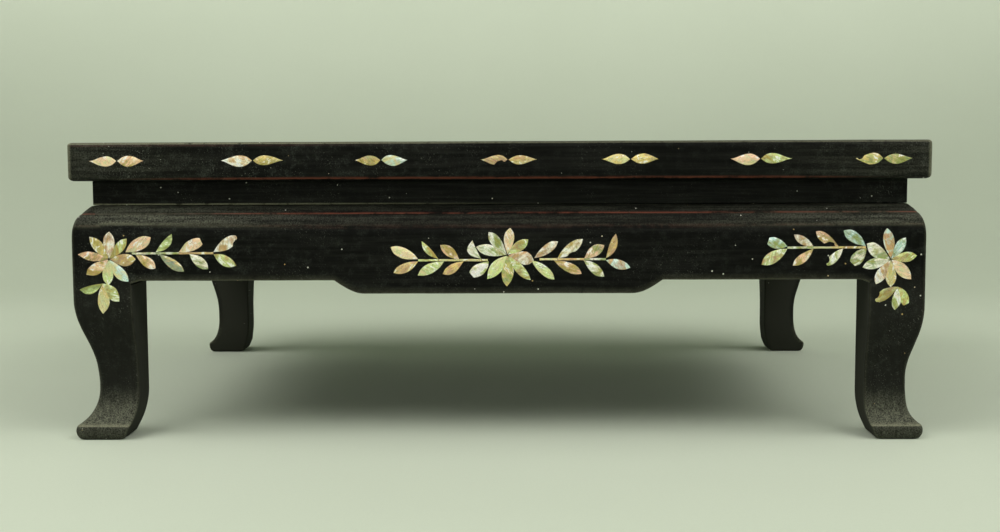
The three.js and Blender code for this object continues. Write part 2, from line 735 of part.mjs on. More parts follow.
function sideGroup(side) {
  const group = new THREE.Group();
  group.rotation.z = side.turn;
  group.add(piece(`top_rail_${side.name}`, topRail(side, edgePairsOf(side)), lacquer()));
  group.add(piece(`waist_${side.name}`, waist(side), lacquer()));
  group.add(piece(`apron_${side.name}`, apron(side), lacquer()));
  group.add(...sideSprays(side));
  edgePairsOf(side).forEach(([middle, leftLong, rightLong], index) => {
    const plate = sweep(edgePairOutline(leftLong, rightLong, 0), 'z', 0, SHELL_THICK);
    const mesh = piece(`inlay_${side.name}_edge_pair_${index + 1}`, plate, shell());
    group.add(hang(mesh, middle, -side.half + SHELL_THICK, EDGE_LEAF_Z));
  });
  return group;
}

function topSprays() {
  return TOP_SPRAYS.map(({ place, design, at: [x, y] }) => {
    const solid = plateOf(sprayOutlines(design, LONG_STEM_PAIRS), 0, SHELL_THICK);
    const plate = piece(`inlay_top_${place}_spray`, solid, shell());
    plate.position.set(x, y, HEIGHT - SHELL_THICK - SHELL_BELOW);
    return plate;
  });
}

function legs() {
  const corners = [
    ['front_left', -1, -1, 0],
    ['front_right', 1, -1, QUARTER],
    ['back_right', 1, 1, 2 * QUARTER],
    ['back_left', -1, 1, -QUARTER],
  ];
  return corners.map(([place, right, back, turn]) => {
    const mesh = piece(`leg_${place}`, leg(), lacquer());
    mesh.rotation.z = turn;
    mesh.position.set(right * WIDTH / 2, back * DEPTH / 2, 0);
    return mesh;
  });
}

for (const side of SIDES) {
  stand.add(sideGroup(side));
}
stand.add(piece('top_panel', topPanel(), lacquer()));
stand.add(piece('top_batten_left', topBatten(-1), innerWood()));
stand.add(piece('top_batten_right', topBatten(1), innerWood()));
stand.add(...legs());
stand.add(...topSprays());

export default stand;
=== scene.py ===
# Looks of a low stand of black-lacquered wood inlaid with mother-of-pearl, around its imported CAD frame.
# Shapes are worked out in millimetres in the frame's axes, and become metres as each mesh is made.

import dataclasses
import functools
import math
import random

import bmesh
import bpy
from mathutils import Matrix, Vector, noise


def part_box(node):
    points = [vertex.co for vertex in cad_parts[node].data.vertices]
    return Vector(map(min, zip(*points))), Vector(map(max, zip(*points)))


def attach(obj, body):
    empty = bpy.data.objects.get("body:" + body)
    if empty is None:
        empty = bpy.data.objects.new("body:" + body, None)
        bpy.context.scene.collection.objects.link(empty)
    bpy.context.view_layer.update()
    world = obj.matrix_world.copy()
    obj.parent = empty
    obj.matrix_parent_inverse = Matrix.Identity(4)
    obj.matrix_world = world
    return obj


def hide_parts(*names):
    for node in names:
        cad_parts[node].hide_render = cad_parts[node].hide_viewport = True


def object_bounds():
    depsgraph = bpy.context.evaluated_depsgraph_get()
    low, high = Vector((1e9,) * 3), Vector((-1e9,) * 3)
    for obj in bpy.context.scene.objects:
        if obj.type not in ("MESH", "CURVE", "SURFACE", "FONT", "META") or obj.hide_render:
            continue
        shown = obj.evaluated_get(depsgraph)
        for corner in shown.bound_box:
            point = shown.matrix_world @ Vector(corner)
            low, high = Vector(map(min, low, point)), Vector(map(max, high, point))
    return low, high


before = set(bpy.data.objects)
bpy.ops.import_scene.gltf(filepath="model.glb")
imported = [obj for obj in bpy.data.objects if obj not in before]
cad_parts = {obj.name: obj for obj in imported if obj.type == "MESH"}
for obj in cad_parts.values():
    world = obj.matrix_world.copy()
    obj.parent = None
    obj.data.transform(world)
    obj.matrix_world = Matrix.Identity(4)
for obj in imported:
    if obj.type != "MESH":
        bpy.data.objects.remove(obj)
cad_low, cad_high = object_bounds()

MM = 0.001
QUARTER = math.pi / 2

# ---------------------------------------------------------------- dimensions, in millimetres

WIDTH = (cad_high.x - cad_low.x) / MM
DEPTH = (cad_high.y - cad_low.y) / MM
HEIGHT = cad_high.z / MM

# Framed top.
TOP_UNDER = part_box("top_rail_front")[0].z / MM
RAIL_WIDE = 45
TOP_EDGE_ROUND = 3
UNDER_EDGE_ROUND = 4
CORNER_ROUND = 2.5
PANEL_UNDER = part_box("top_panel")[0].z / MM
PANEL_BELOW = 0.1
BATTEN_HALF = 11

# Waist, and the rounded shoulder under it.
WAIST_INSET = 10.8
WAIST_THICK = 8
WAIST_FOOT = 132.7
SKIRT_INSET = 1.8
SHOULDER_START = 114
SHOULDER_ARRIS = (6.1, 128)
SHOULDER_TOP = 132.4

# Apron, its dropped middle and the small bracket at each leg.
APRON_BACK = 19
APRON_FOOT = 90.5
DROP_DEEP = 7.5
DROP_RUN = 17
BRACKET_LONG = 7.5
BRACKET_DEEP = 2

# Leg.
LEG_INNER = 33
TOE_TOP = 8
ANKLE_Z = 34
HEEL_TOP = 24
POST_OUTER = 19.3
POST_FOOT = 100
POST_ROUND = 0.8
POST_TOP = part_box("leg_front_left")[1].z / MM

# Air that shows as a hairline between neighbouring boards, and between an apron and its legs.
HAIRLINE = 0.12
TIGHT = 0.03

# Inlay: where it sits, and how far its face stands above the lacquer and its back sits below.
EDGE_LEAF_WIDE = 5.9
EDGE_LEAF_Z = 157.8
CORNER_FLOWER_IN = 21.6
LEFT_FLOWER_Z = 102.8
RIGHT_FLOWER_Z = 101.7
CENTER_FLOWER_SHIFT = 5.2
CENTER_FLOWER_Z = 104.6
TOP_FLOWER_IN = 66
SHELL_PROUD = 0.15
SHELL_SUNK = 0.05
SHELL_BEVEL = 0.08
STEM_WIDE = 1.3
STEM_TIP = 1.2

# ---------------------------------------------------------------- inlay designs

# Petals are (angle, length, width, tints), and leaves (distance along the stem, angle, length,
# width, tints). The first two letters of tints are the shell's main colour and what it turns to,
# and a third one says how the leaf is cut or broken.

LEFT_SPRAY = {
    "petals": [
        (88, 15.5, 6.7, "pw"), (130, 16.5, 6, "oo"), (171, 17.5, 5.3, "op"), (-146, 15.5, 6.7, "op"),
        (-93, 14.5, 6.5, "wg"), (-50, 16.5, 6.4, "wb"), (0, 15, 7, "po"), (48, 15.5, 5.7, "og"),
    ],
    "stems": [{
        "rise": 3.3,
        "start": 13,
        "above": [
            (9.5, 30, 17, 7, "wp"), (26.5, 48, 14, 6, "ggs"),
            (39.5, 25, 16.5, 6, "wpb"), (59, 34, 16.5, 6.7, "pwn"),
        ],
        "below": [
            (15, -35, 14, 6, "op"), (28.5, -35, 17, 5.3, "bo"),
            (45.5, -39, 13.5, 6, "gw"), (59, -27, 14.5, 6.4, "og"),
        ],
    }],
    "sprig": ((-3.8, -13.7), [(-166, 13.5, 6.4, "ggt"), (-91, 17, 7, "wo"), (-48, 13.5, 6.7, "og")]),
}

RIGHT_SPRAY = {
    "petals": [
        (98, 17.5, 6.4, "pb"), (56, 14.5, 5.3, "gb"), (8, 14.5, 5.7, "og"), (-44, 16, 6.7, "wp"),
        (-89, 15.5, 6.3, "wo"), (-120, 16, 6.4, "pw"), (-164, 16.2, 5.8, "gw"), (147, 16, 7.1, "gw"),
    ],
    "stems": [{
        "rise": 6.7,
        "start": -13.4,
        "above": [
            (-14, 145, 15.5, 6.4, "gb"), (-29, 147, 15.5, 5.7, "opm"),
            (-43, 149, 13, 5, "pw"), (-57.5, 162, 13, 5.7, "gbb"),
        ],
        "below": [
            (-13.5, -133, 13.5, 6.4, "gwb"), (-26.5, -133, 13.5, 4.8, "gwn"),
            (-43, -140, 15, 5, "op"), (-57.5, -148, 17, 6.7, "pg"),
        ],
    }],
    "sprig": ((4.3, -15.4), [(-147, 15, 5.7, "ogn"), (-97, 13, 5.3, "gw"), (-63, 12.5, 5.3, "ogb")]),
}

CENTER_SPRAY = {
    "petals": [
        (84, 15.2, 6.4, "wp"), (129, 16.5, 6, "gw"), (165, 18, 6.4, "gw"), (-130, 17.5, 7.1, "wg"),
        (-91, 17.5, 7.5, "go"), (-47, 19, 5.5, "og"), (-12, 15, 7.1, "pw"), (37, 14.5, 6, "og"),
    ],
    "stems": [
        {
            "rise": -2.8,
            "start": -11,
            "above": [
                (-14.5, 115, 12, 6, "gwc"), (-27, 143, 13.5, 5.7, "op"),
                (-38.5, 133, 14, 5, "ogt"), (-50, 156, 17, 6, "wp"),
            ],
            "below": [
                (-10.5, -141, 14.5, 6.4, "gwb"), (-24.5, -149, 14, 5.3, "po"),
                (-35.5, -152, 17, 6, "wg"), (-50, -155, 15.5, 5.7, "po"),
            ],
        },
        {
            "rise": -2.4,
            "start": 18,
            "above": [
                (15, 35, 16.5, 5.3, "pw"), (28, 37, 18, 6, "owr"),
                (43, 33, 13.5, 6, "gp"), (55, 68, 15, 6.4, "pos"),
            ],
            "below": [
                (13.5, -40, 17, 5.3, "wg"), (26, -26, 17.5, 5.3, "op"),
                (42.5, -38, 15, 5.3, "gw"), (55, -17, 14.5, 5.3, "pb"),
            ],
        },
    ],
    "sprig": None,
}

# Pairs of leaves along the edge of the top, (middle, length to the left, length to the right, tints).
LONG_EDGE_PAIRS = [
    (-211.9, 15.5, 14.8, "wp", "op"), (-136.2, 17.5, 17, "pw", "oo"), (-64.8, 14.3, 14.7, "oo", "wb"),
    (5.7, 15, 16, "pom", "po"), (73.5, 15.7, 15.4, "wo", "oo"), (145.2, 16.4, 17.3, "wp", "og"),
    (212.8, 15.6, 15.9, "gon", "go"),
]
SHORT_EDGE_PAIRS = [
    (-142, 15, 15.5, "og", "wg"), (-70.5, 16.5, 15, "pw", "go"), (0.5, 15, 16, "wb", "po"),
    (71, 15.5, 14.8, "gw", "ow"), (142.5, 16, 15.6, "po", "wg"),
]

# ---------------------------------------------------------------- sides


@dataclasses.dataclass
class Side:
    """One side of the stand, drawn as if it were the front and then turned about the middle."""

    name: str
    turn: float
    run: float
    half: float
    drop_half: float
    pairs: list
    long: bool

    def placed(self, x, y, z):
        cos = round(math.cos(self.turn))
        sin = round(math.sin(self.turn))
        return (x * cos - y * sin, x * sin + y * cos, z)


SIDES = [
    Side("front", 0, WIDTH, DEPTH / 2, 92, LONG_EDGE_PAIRS, True),
    Side("right", QUARTER, DEPTH, WIDTH / 2, 66, SHORT_EDGE_PAIRS, False),
    Side("back", 2 * QUARTER, WIDTH, DEPTH / 2, 92, LONG_EDGE_PAIRS, True),
    Side("left", -QUARTER, DEPTH, WIDTH / 2, 66, SHORT_EDGE_PAIRS, False),
]

# ---------------------------------------------------------------- outlines


def smooth(value):
    """Eases from 0 to 1."""
    value = min(max(value, 0), 1)
    return value * value * (3 - 2 * value)


def falloff(distance, reach):
    """1 on a line, down to 0 at reach from it."""
    return max(0, 1 - distance / reach)


def curve(p0, p1, p2, p3, steps):
    """Points along a cubic Bezier curve, without its first one."""
    points = []
    for step in range(1, steps + 1):
        t = step / steps
        weights = ((1 - t) ** 3, 3 * t * (1 - t) ** 2, 3 * t * t * (1 - t), t ** 3)
        points.append(tuple(
            sum(weight * point[axis] for weight, point in zip(weights, (p0, p1, p2, p3)))
            for axis in (0, 1)
        ))
    return points


def rounded(corners, steps):
    """A closed outline whose corners, given as (u, v, radius), are rounded off."""
    outline = []
    for index, (u, v, radius) in enumerate(corners):
        if radius == 0:
            outline.append((u, v))
            continue
        before = Vector(corners[index - 1][:2])
        after = Vector(corners[(index + 1) % len(corners)][:2])
        corner = Vector((u, v))
        start = corner + (before - corner).normalized() * radius
        end = corner + (after - corner).normalized() * radius
        for step in range(steps + 1):
            t = step / steps
            point = start * (1 - t) ** 2 + corner * 2 * t * (1 - t) + end * t * t
            outline.append((point.x, point.y))
    return outline


def rounded_box(low_u, low_v, high_u, high_v, radius, steps):
    return rounded([
        (low_u, low_v, radius), (high_u, low_v, radius), (high_u, high_v, radius), (low_u, high_v, radius),
    ], steps)


def spread(outline, longest):
    """The same closed outline with points added, so that no stretch is longer than longest."""
    points = []
    for index, (u, v) in enumerate(outline):
        next_u, next_v = outline[(index + 1) % len(outline)]
        count = max(1, math.ceil(math.hypot(next_u - u, next_v - v) / longest))
        for step in range(count):
            share = step / count
            points.append((u + (next_u - u) * share, v + (next_v - v) * share))
    return points


def stations(half_run, step):
    """Shares from -1 to 1 along a board, close together near its ends."""
    near_end = (0, 0.3, 0.7, 1.2, 1.8, 2.5, 3.5, 5)
    inner = half_run - 6
    count = math.ceil(2 * inner / step)
    places = [-inner + 2 * inner * index / count for index in range(count + 1)]
    for distance in near_end:
        places += [half_run - distance, distance - half_run]
    return [place / half_run for place in sorted(places)]


# ---------------------------------------------------------------- meshes


class Body:
    """Points, faces and marks of closed lofted shapes that become one mesh."""

    def __init__(self):
        self.points = []
        self.faces = []
        self.marks = {}

    def loft(self, rings):
        """Adds rings of equally many points, joined one to the next and closed at both ends."""
        first = len(self.points)
        count = len(rings[0])
        for ring in rings:
            self.points += ring
        for row in range(len(rings) - 1):
            low = first + row * count
            for index in range(count):
                after = (index + 1) % count
                self.faces.append((low + index, low + after, low + count + after, low + count + index))
        last = first + (len(rings) - 1) * count
        self.faces.append(tuple(range(first + count - 1, first - 1, -1)))
        self.faces.append(tuple(range(last, last + count)))

    def mark(self, name, value):
        self.marks.setdefault(name, []).append(value)

    def wear(self, marks):
        """Adds one point's wear and painted light, with none of any kind that marks leaves out."""
        for name in WEAR_AND_PAINTED_LIGHT:
            self.mark(name, marks.get(name, 0))


# Kinds of wear and painted light: pale lines, which are rubbed wear and painted highlights on arrises,
# wood showing brown, dust with a painted sheen on the shoulders and feet, greyed lacquer, bare chips,
# and dull lacquer as on the inner faces, which were never polished, lightened as painted fill light.
WEAR_AND_PAINTED_LIGHT = ("pale", "bared", "dusty", "aged", "chipped", "unpolished")
MARK_TYPES = {name: ("FLOAT", "value") for name in WEAR_AND_PAINTED_LIGHT}
MARK_TYPES.update({
    "tone": ("FLOAT_COLOR", "color"),
    "flash": ("FLOAT_COLOR", "color"),
    "leaf_place": ("FLOAT_VECTOR", "vector"),
    "rim": ("FLOAT", "value"),
})
SHARP_ANGLE = math.radians(38)


def add_marks(mesh, marks):
    for name, values in marks.items():
        kind, field = MARK_TYPES[name]
        layer = mesh.attributes.new(name, kind, "POINT")
        flat = values if kind == "FLOAT" else [part for value in values for part in value]
        layer.data.foreach_set(field, flat)


def clean(mesh):
    """Turns every face outwards and splits the end caps into triangles."""
    work = bmesh.new()
    work.from_mesh(mesh)
    caps = [face for face in work.faces if len(face.verts) > 4]
    bmesh.ops.triangulate(work, faces=caps)
    bmesh.ops.recalc_face_normals(work, faces=work.faces)
    work.to_mesh(mesh)
    work.free()
    mesh.polygons.foreach_set("use_smooth", [True] * len(mesh.polygons))
    mesh.set_sharp_from_angle(angle=SHARP_ANGLE)


def add_object(name, body):
    mesh = bpy.data.meshes.new(name)
    mesh.from_pydata([(x * MM, y * MM, z * MM) for x, y, z in body.points], [], body.faces)
    add_marks(mesh, body.marks)
    clean(mesh)
    made = bpy.data.objects.new(name, mesh)
    bpy.context.scene.collection.objects.link(made)
    return made


def settle(piece, material, node):
    """Finishes a piece: its material, the body it rides on, and hiding the CAD node it stands for."""
    piece.data.materials.append(material)
    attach(piece, "root")
    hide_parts(node)


def add_board(name, body, material, node):
    settle(add_object(name, body), material, node)


# ---------------------------------------------------------------- hand-made surface

WAVE_LONG = 34
WAVE_DEEP = 0.07
NICK_LONG = 3.5
NICK_DEEP = 0.16

# Without a seed of its own, Blender's noise takes one from the clock.
NOISE_SEED = 5
noise.seed_set(NOISE_SEED)


def handmade(point, nicked):
    """Moves a point as a hand-planed, worn surface would lie: long waves, and nicks along arrises."""
    place = Vector(point)
    wave = noise.noise_vector(place / WAVE_LONG) * WAVE_DEEP
    nick = noise.noise_vector(place / NICK_LONG) * NICK_DEEP * nicked
    return tuple(place + wave + nick)


def board(side, profile, reach, step, shape, marks_at):
    """Lofts a profile of (distance in, height) along a side, between its two ends.

    reach says how far in from the end of the side the board stops, shape moves each point and
    marks_at gives its wear and painted light, and how nicked it is.
    """
    body = Body()
    rings = []
    for share in stations(side.run / 2, step):
        ring = []
        for inset, z in profile:
            x = share * (side.run / 2 - reach(inset, z))
            x, inset_now, z_now = shape(side, x, inset, z)
            marks, nicked = marks_at(side, x, inset_now, z_now)
            body.wear(marks)
            ring.append(handmade(side.placed(x, inset_now - side.half, z_now), nicked))
        rings.append(ring)
    body.loft(rings)
    return body


# ---------------------------------------------------------------- top


def rail_profile():
    return spread(rounded([
        (0, TOP_UNDER, UNDER_EDGE_ROUND), (RAIL_WIDE - HAIRLINE, TOP_UNDER, 0.6),
        (RAIL_WIDE - HAIRLINE, HEIGHT, 0.5), (0, HEIGHT, TOP_EDGE_ROUND),
        (0, HEIGHT - TOP_EDGE_ROUND - 0.7, 0),
    ], 6), 4.5)


# Hairline cracks across the front edge of the top, (place along it, depth).
CRACKS = [(-94.7, 0.35), (164, 0.3)]
CRACK_HALF = 0.9
CRACK_REACH = 12


def rail_shape(side, x, inset, z):
    """Rounds the top's corners in plan and opens the cracks."""
    from_end = side.run / 2 - abs(x)
    across = CORNER_ROUND - from_end
    back = CORNER_ROUND - inset
    if across > 0 and back > 0 and math.hypot(across, back) > CORNER_ROUND:
        scale = CORNER_ROUND / math.hypot(across, back)
        x = math.copysign(side.run / 2 - CORNER_ROUND + across * scale, x)
        inset = CORNER_ROUND - back * scale
    if side.name == "front":
        for place, deep in CRACKS:
            near = falloff(abs(x - place), CRACK_HALF) * falloff(inset, CRACK_REACH)
            inset += deep * near * (1 if inset < 1 else 0)
    return x, inset, z


def from_left(side, x):
    """1 at the left end of a side, down to 0 past its middle: the left half is the more worn."""
    return smooth((0.1 * side.run - x) / (0.45 * side.run))


def near_ends(side, x, reach):
    """1 at either end of a side, down to 0 at reach from it."""
    return smooth((abs(x) - side.run / 2 + reach) / reach)


def rail_marks(side, x, inset, z):
    outside = falloff(inset, 2.6)
    top = smooth((z - HEIGHT + 1.2) / 0.5) * outside
    under_top = falloff(abs(z - HEIGHT + 1.7), 0.6) * outside
    low = falloff(math.hypot(inset - 0.8, z - TOP_UNDER - 1.1), 1.2)
    end = falloff(math.hypot(inset, side.run / 2 - abs(x)), 2.6)
    ends = near_ends(side, x, 110)
    left = from_left(side, x)
    marks = {
        # Pale: a painted highlight along the top arris where it catches the light, with rubbed wear at the
        # corner.
        "pale": top * (0.6 + 0.4 * left) + 0.8 * end,
        "bared": low * (1 - 0.9 * ends) + 0.7 * under_top * left,
        "dusty": 0.25 * ends * outside,
        "aged": 0.2 + 0.8 * max(ends, left),
    }
    return marks, max(0.8 * top, end, 0.6 * low)


def mitre(inset, z):
    return inset + HAIRLINE


def make_top_rail(side, material):
    body = board(side, rail_profile(), mitre, 1.5, rail_shape, rail_marks)
    add_board(f"rail_{side.name}", body, material, f"top_rail_{side.name}")


SLAB_FACET = 100


def slab(low, high, radius, step):
    """A board along Y with softly rounded edges all round."""
    body = Body()
    rings = []
    half_run = (high[1] - low[1]) / 2
    middle = (high[1] + low[1]) / 2
    for share in stations(half_run, step):
        y = middle + share * half_run
        short = max(0, radius - (half_run - abs(y - middle)))
        inset = radius - math.sqrt(radius ** 2 - short ** 2)
        section = spread(rounded_box(
            low[0] + inset, low[2] + inset, high[0] - inset, high[2] - inset, radius, 4,
        ), SLAB_FACET)
        ring = []
        for x, z in section:
            body.wear({"aged": 0.5})
            ring.append(handmade((x, y, z), 0))
        rings.append(ring)
    body.loft(rings)
    return body


def make_top_panel(material):
    x = WIDTH / 2 - RAIL_WIDE - HAIRLINE
    y = DEPTH / 2 - RAIL_WIDE - HAIRLINE
    body = slab((-x, -y, PANEL_UNDER), (x, y, HEIGHT - PANEL_BELOW), 0.6, 6)
    add_board("panel_slab", body, material, "top_panel")


def make_battens(material):
    y = DEPTH / 2 - RAIL_WIDE - HAIRLINE
    for place in ("left", "right"):
        low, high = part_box(f"top_batten_{place}")
        middle = (low.x + high.x) / 2 / MM
        body = slab(
            (middle - BATTEN_HALF, -y, TOP_UNDER), (middle + BATTEN_HALF, y, PANEL_UNDER - HAIRLINE),
            1.2, 6,
        )
        settle(add_object(f"batten_{place}", body), material, f"top_batten_{place}")


# ---------------------------------------------------------------- waist and apron


def waist_profile():
    back = WAIST_INSET + WAIST_THICK
    return spread(rounded([
        (WAIST_INSET, WAIST_FOOT, 0.6), (back, WAIST_FOOT, 0.4),
        (back, TOP_UNDER - HAIRLINE, 0.4), (WAIST_INSET, TOP_UNDER - HAIRLINE, 0.3),
        (WAIST_INSET, WAIST_FOOT + 1.2, 0),
    ], 3), 4)


def waist_marks(side, x, inset, z):
    foot = falloff(abs(z - WAIST_FOOT - 0.3), 0.8)
    ends = near_ends(side, x, 90)
    left = from_left(side, x)
    marks = {
        "pale": 0.65 * foot * left,
        "aged": 0.05 + 0.55 * ends + 0.25 * left,
    }
    return marks, 0.2 * foot


def unmoved(side, x, inset, z):
    return x, inset, z


def make_waist(side, material):
    body = board(side, waist_profile(), mitre, 3, unmoved, waist_marks)
    add_board(f"neck_{side.name}", body, material, f"waist_{side.name}")


def shoulder_curve(steps):
    """The rounded shoulder from the upright face to the arris under the waist, as (inset, z)."""
    face = SKIRT_INSET
    points = curve((face, SHOULDER_START), (face, 120.5), (3.1, 125.4), SHOULDER_ARRIS, steps)
    points.insert(-1, (5.75, 127.6))
    return points


def joint_line(z):
    """How far in the slanting joint between leg and apron is at a height."""
    slope = (LEG_INNER - WAIST_INSET) / (WAIST_FOOT - APRON_FOOT)
    return LEG_INNER - slope * max(0, z - APRON_FOOT)


# The slope from the waist's foot out to the shoulder's arris, as (inset, z).
SHOULDER_SLOPE = [(6.4, 128.4), (7.4, 129.6), (9.1, 131.2), (WAIST_INSET, SHOULDER_TOP)]


def apron_profile():
    outline = rounded([
        (SKIRT_INSET, SHOULDER_START, 0), (SKIRT_INSET, APRON_FOOT, 1.1), (APRON_BACK, APRON_FOOT, 1.1),
        (APRON_BACK, SHOULDER_TOP, 0.4),
    ], 4)
    outline += reversed(SHOULDER_SLOPE)
    outline += reversed(shoulder_curve(12))
    return spread(outline, 3)


def lower_edge(side, x):
    """Height of the apron's lower edge: the dropped middle and the bracket at each leg."""
    into_drop = min(max((side.drop_half - abs(x)) / DROP_RUN, 0), 1)
    drop = DROP_DEEP * math.sin(QUARTER * into_drop)
    to_leg = side.run / 2 - LEG_INNER - abs(x)
    bracket = BRACKET_DEEP * max(0, 1 - to_leg / BRACKET_LONG) ** 2
    return APRON_FOOT - drop - bracket


def apron_shape(side, x, inset, z):
    """Pulls the lower part of the board down to its lower edge."""
    share = 1 - smooth((z - APRON_FOOT - 1.5) / 20)
    return x, inset, z + (lower_edge(side, x) - APRON_FOOT) * share


# Places on the front's lower edge where the lacquer has chipped off, down to a pale ground.
CHIPS = [(10.9, 83.2, 0.8), (-145.7, 90.7, 1)]


def shoulder_marks(side, x, inset, z):
    """Wear and painted light of the shoulder, on aprons and legs alike, and how nicked it is."""
    arris_inset, arris_z = SHOULDER_ARRIS
    arris = falloff(math.hypot(inset - arris_inset, z - arris_z), 0.7)
    ends = near_ends(side, x, 150) * (1 if x < 0 else 0.5)
    ends *= 0.55 + 0.45 * smooth((side.run / 2 - abs(x)) / 30)
    left = from_left(side, x)
    band_foot = SHOULDER_START + 6.4 + 2.4 * ends
    on_round = smooth((z - band_foot + 0.6) / 1.4) * (1 - smooth((z - arris_z + 1) / 1.2))
    foot_line = falloff(abs(z - band_foot), 1.3) * falloff(inset, 6)
    on_slope = smooth((z - arris_z - 0.2) / 0.8)
    marks = {
        # Pale: a painted highlight along the foot of the shoulder's round and on its arris, mixed with
        # rubbed wear.
        "pale": 0.7 * foot_line * ends + 0.3 * arris * ends,
        "bared": (1 - 0.95 * ends) * (arris + 0.5 * foot_line) + 0.12 * on_round,
        # Dust, and a painted sheen: the round of the shoulder is lightened as if it caught the overhead
        # light.
        "dusty": on_round * (0.15 + ends) + (0.15 + 0.4 * ends) * on_slope,
        "aged": 0.25 + 0.5 * ends + 0.25 * left,
    }
    return marks, 0.6 * arris


def apron_marks(side, x, inset, z):
    marks, nicked = shoulder_marks(side, x, inset, z)
    foot = falloff(math.hypot(inset - SKIRT_INSET, z - lower_edge(side, x)), 1.4)
    marks["pale"] += 0.3 * foot
    marks["dusty"] += 0.25 * foot
    if side.name == "front":
        marks["chipped"] = max(falloff(math.hypot(x - cx, z - cz), reach) for cx, cz, reach in CHIPS)
    return marks, max(nicked, 0.8 * foot)


def apron_reach(inset, z):
    gap = TIGHT if inset < WAIST_INSET else HAIRLINE
    return max(joint_line(z), inset) + gap


def make_apron(side, material):
    body = board(side, apron_profile(), apron_reach, 1.5, apron_shape, apron_marks)
    add_board(f"skirt_{side.name}", body, material, f"apron_{side.name}")


# ---------------------------------------------------------------- legs


# Each leg was cut by eye, as (how far in its ankle is, height of its knee, how far out its toe is,
# how much thicker it is inwards, how much fuller it is at the stand's end).
LEG_CUTS = {
    "front_left": (11.9, 80, 1.3, 0.9, 1.3),
    "front_right": (9.7, 75.5, 0.2, 0, 0),
    "back_left": (10.2, 77, 0.6, 0.6, 0.4),
    "back_right": (10.4, 77.5, 0.4, 0.4, 0.2),
}


def leg_outer_curve(ankle, knee, toe):
    """The leg's outer face from the floor to the waist, as (inset, z)."""
    face = SKIRT_INSET
    tip = face - toe
    points = [(tip + 1.8, 0)]
    points += curve(points[-1], (tip - 0.8, 1.2), (tip - 1.2, 6.2), (tip + 0.3, TOE_TOP), 9)
    points += curve(points[-1], (tip + 7.5, 12.5), (ankle, 20), (ankle, ANKLE_Z), 16)
    points += curve(points[-1], (ankle, knee - 27), (face, knee - 18), (face, knee), 20)
    joint_foot = APRON_FOOT - BRACKET_DEEP
    levels = [knee + 2, knee + 5, joint_foot - 0.4, joint_foot + 0.1]
    level = joint_foot + 2
    while level < SHOULDER_START - 1:
        levels.append(level)
        level += 2
    points += [(face, level) for level in levels]
    points += [(face, SHOULDER_START)]
    points += shoulder_curve(14)
    points += SHOULDER_SLOPE
    return points


def leg_inner_at(z, thicker):
    """How far in the leg's inner face is, rounded under at the heel."""
    if z > APRON_FOOT - BRACKET_DEEP:
        return joint_line(z)
    if z >= HEEL_TOP:
        return LEG_INNER + thicker
    heel = [(25.5, 0)] + curve((25.5, 0), (27.6, 0.2), (28.2, 1.6), (28.6, 3), 5)
    heel += curve((28.6, 3), (31.4, 9), (LEG_INNER, 16), (LEG_INNER, HEEL_TOP), 14)
    for (low_inset, low_z), (high_inset, high_z) in zip(heel, heel[1:]):
        if low_z <= z <= high_z:
            share = (z - low_z) / (high_z - low_z)
            return low_inset + (high_inset - low_inset) * share + thicker * z / HEEL_TOP
    return LEG_INNER + thicker


RING_STEPS = 5
RING_PARTS = 8


def leg_ring(outer, inner, z):
    """One level of a leg: a square with rounded corners, the outermost rounder near the foot."""
    half = (inner - outer) / 2
    beside_apron = z > APRON_FOOT - BRACKET_DEEP
    outer_round = min(1.8 + 2.2 * smooth((26 - z) / 20), half)
    side_round = 0.1 if beside_apron else min(1.2 + 0.8 * smooth((12 - z) / 10), half)
    ring = rounded([
        (outer, outer, outer_round), (inner, outer, side_round),
        (inner, inner, side_round), (outer, inner, side_round),
    ], RING_STEPS)
    points = []
    for index, (a, b) in enumerate(ring):
        next_a, next_b = ring[(index + 1) % len(ring)]
        count = RING_PARTS if index % (RING_STEPS + 1) == RING_STEPS else 1
        for step in range(count):
            share = step / count
            points.append((a + (next_a - a) * share, b + (next_b - b) * share))
    return points


def leg_marks(a, b, z, outer, inner):
    """Wear and painted light of a leg at distances a and b in from its two outer faces, and how nicked it
    is.
    """
    near = min(a, b)
    long_side = SIDES[0]
    marks, nicked = shoulder_marks(long_side, long_side.run / 2 - max(a, b), near, z)
    corner = falloff(math.hypot(a - outer, b - outer), 1.8)
    side_arris = 0
    if z < APRON_FOOT - BRACKET_DEEP:
        side_arris = max(
            falloff(math.hypot(a - inner, b - outer), 1.3),
            falloff(math.hypot(a - outer, b - inner), 1.3),
        )
    foot = smooth((31 - z) / 20)
    outside = 1 - smooth((near - outer - 0.7) / 1.2)
    toe_arris = falloff(abs(z - TOE_TOP - 0.2), 0.9) * outside
    # Pale: rubbed wear, and painted highlights along the leg's arrises and the toe's top arris.
    marks["pale"] += 0.15 * corner + 0.1 * side_arris + 0.8 * toe_arris
    # Dust on the foot, and painted light on its upper part, which faces up to the lamps.
    marks["dusty"] += foot * outside * (0.45 + 0.55 * smooth((z - 6) / 4))
    below_apron = smooth((APRON_FOOT + 6.5 - z) / 14)
    marks["aged"] = max(marks["aged"], 0.9 * foot, 0.7 * below_apron) * outside
    # Inner faces: dull lacquer, its colour raised as painted fill light for the shade they stand in.
    marks["unpolished"] = max((1 - outside) * (1 if z < SHOULDER_START else 0), 0.28 * below_apron)
    return marks, max(nicked, corner, 0.8 * side_arris)


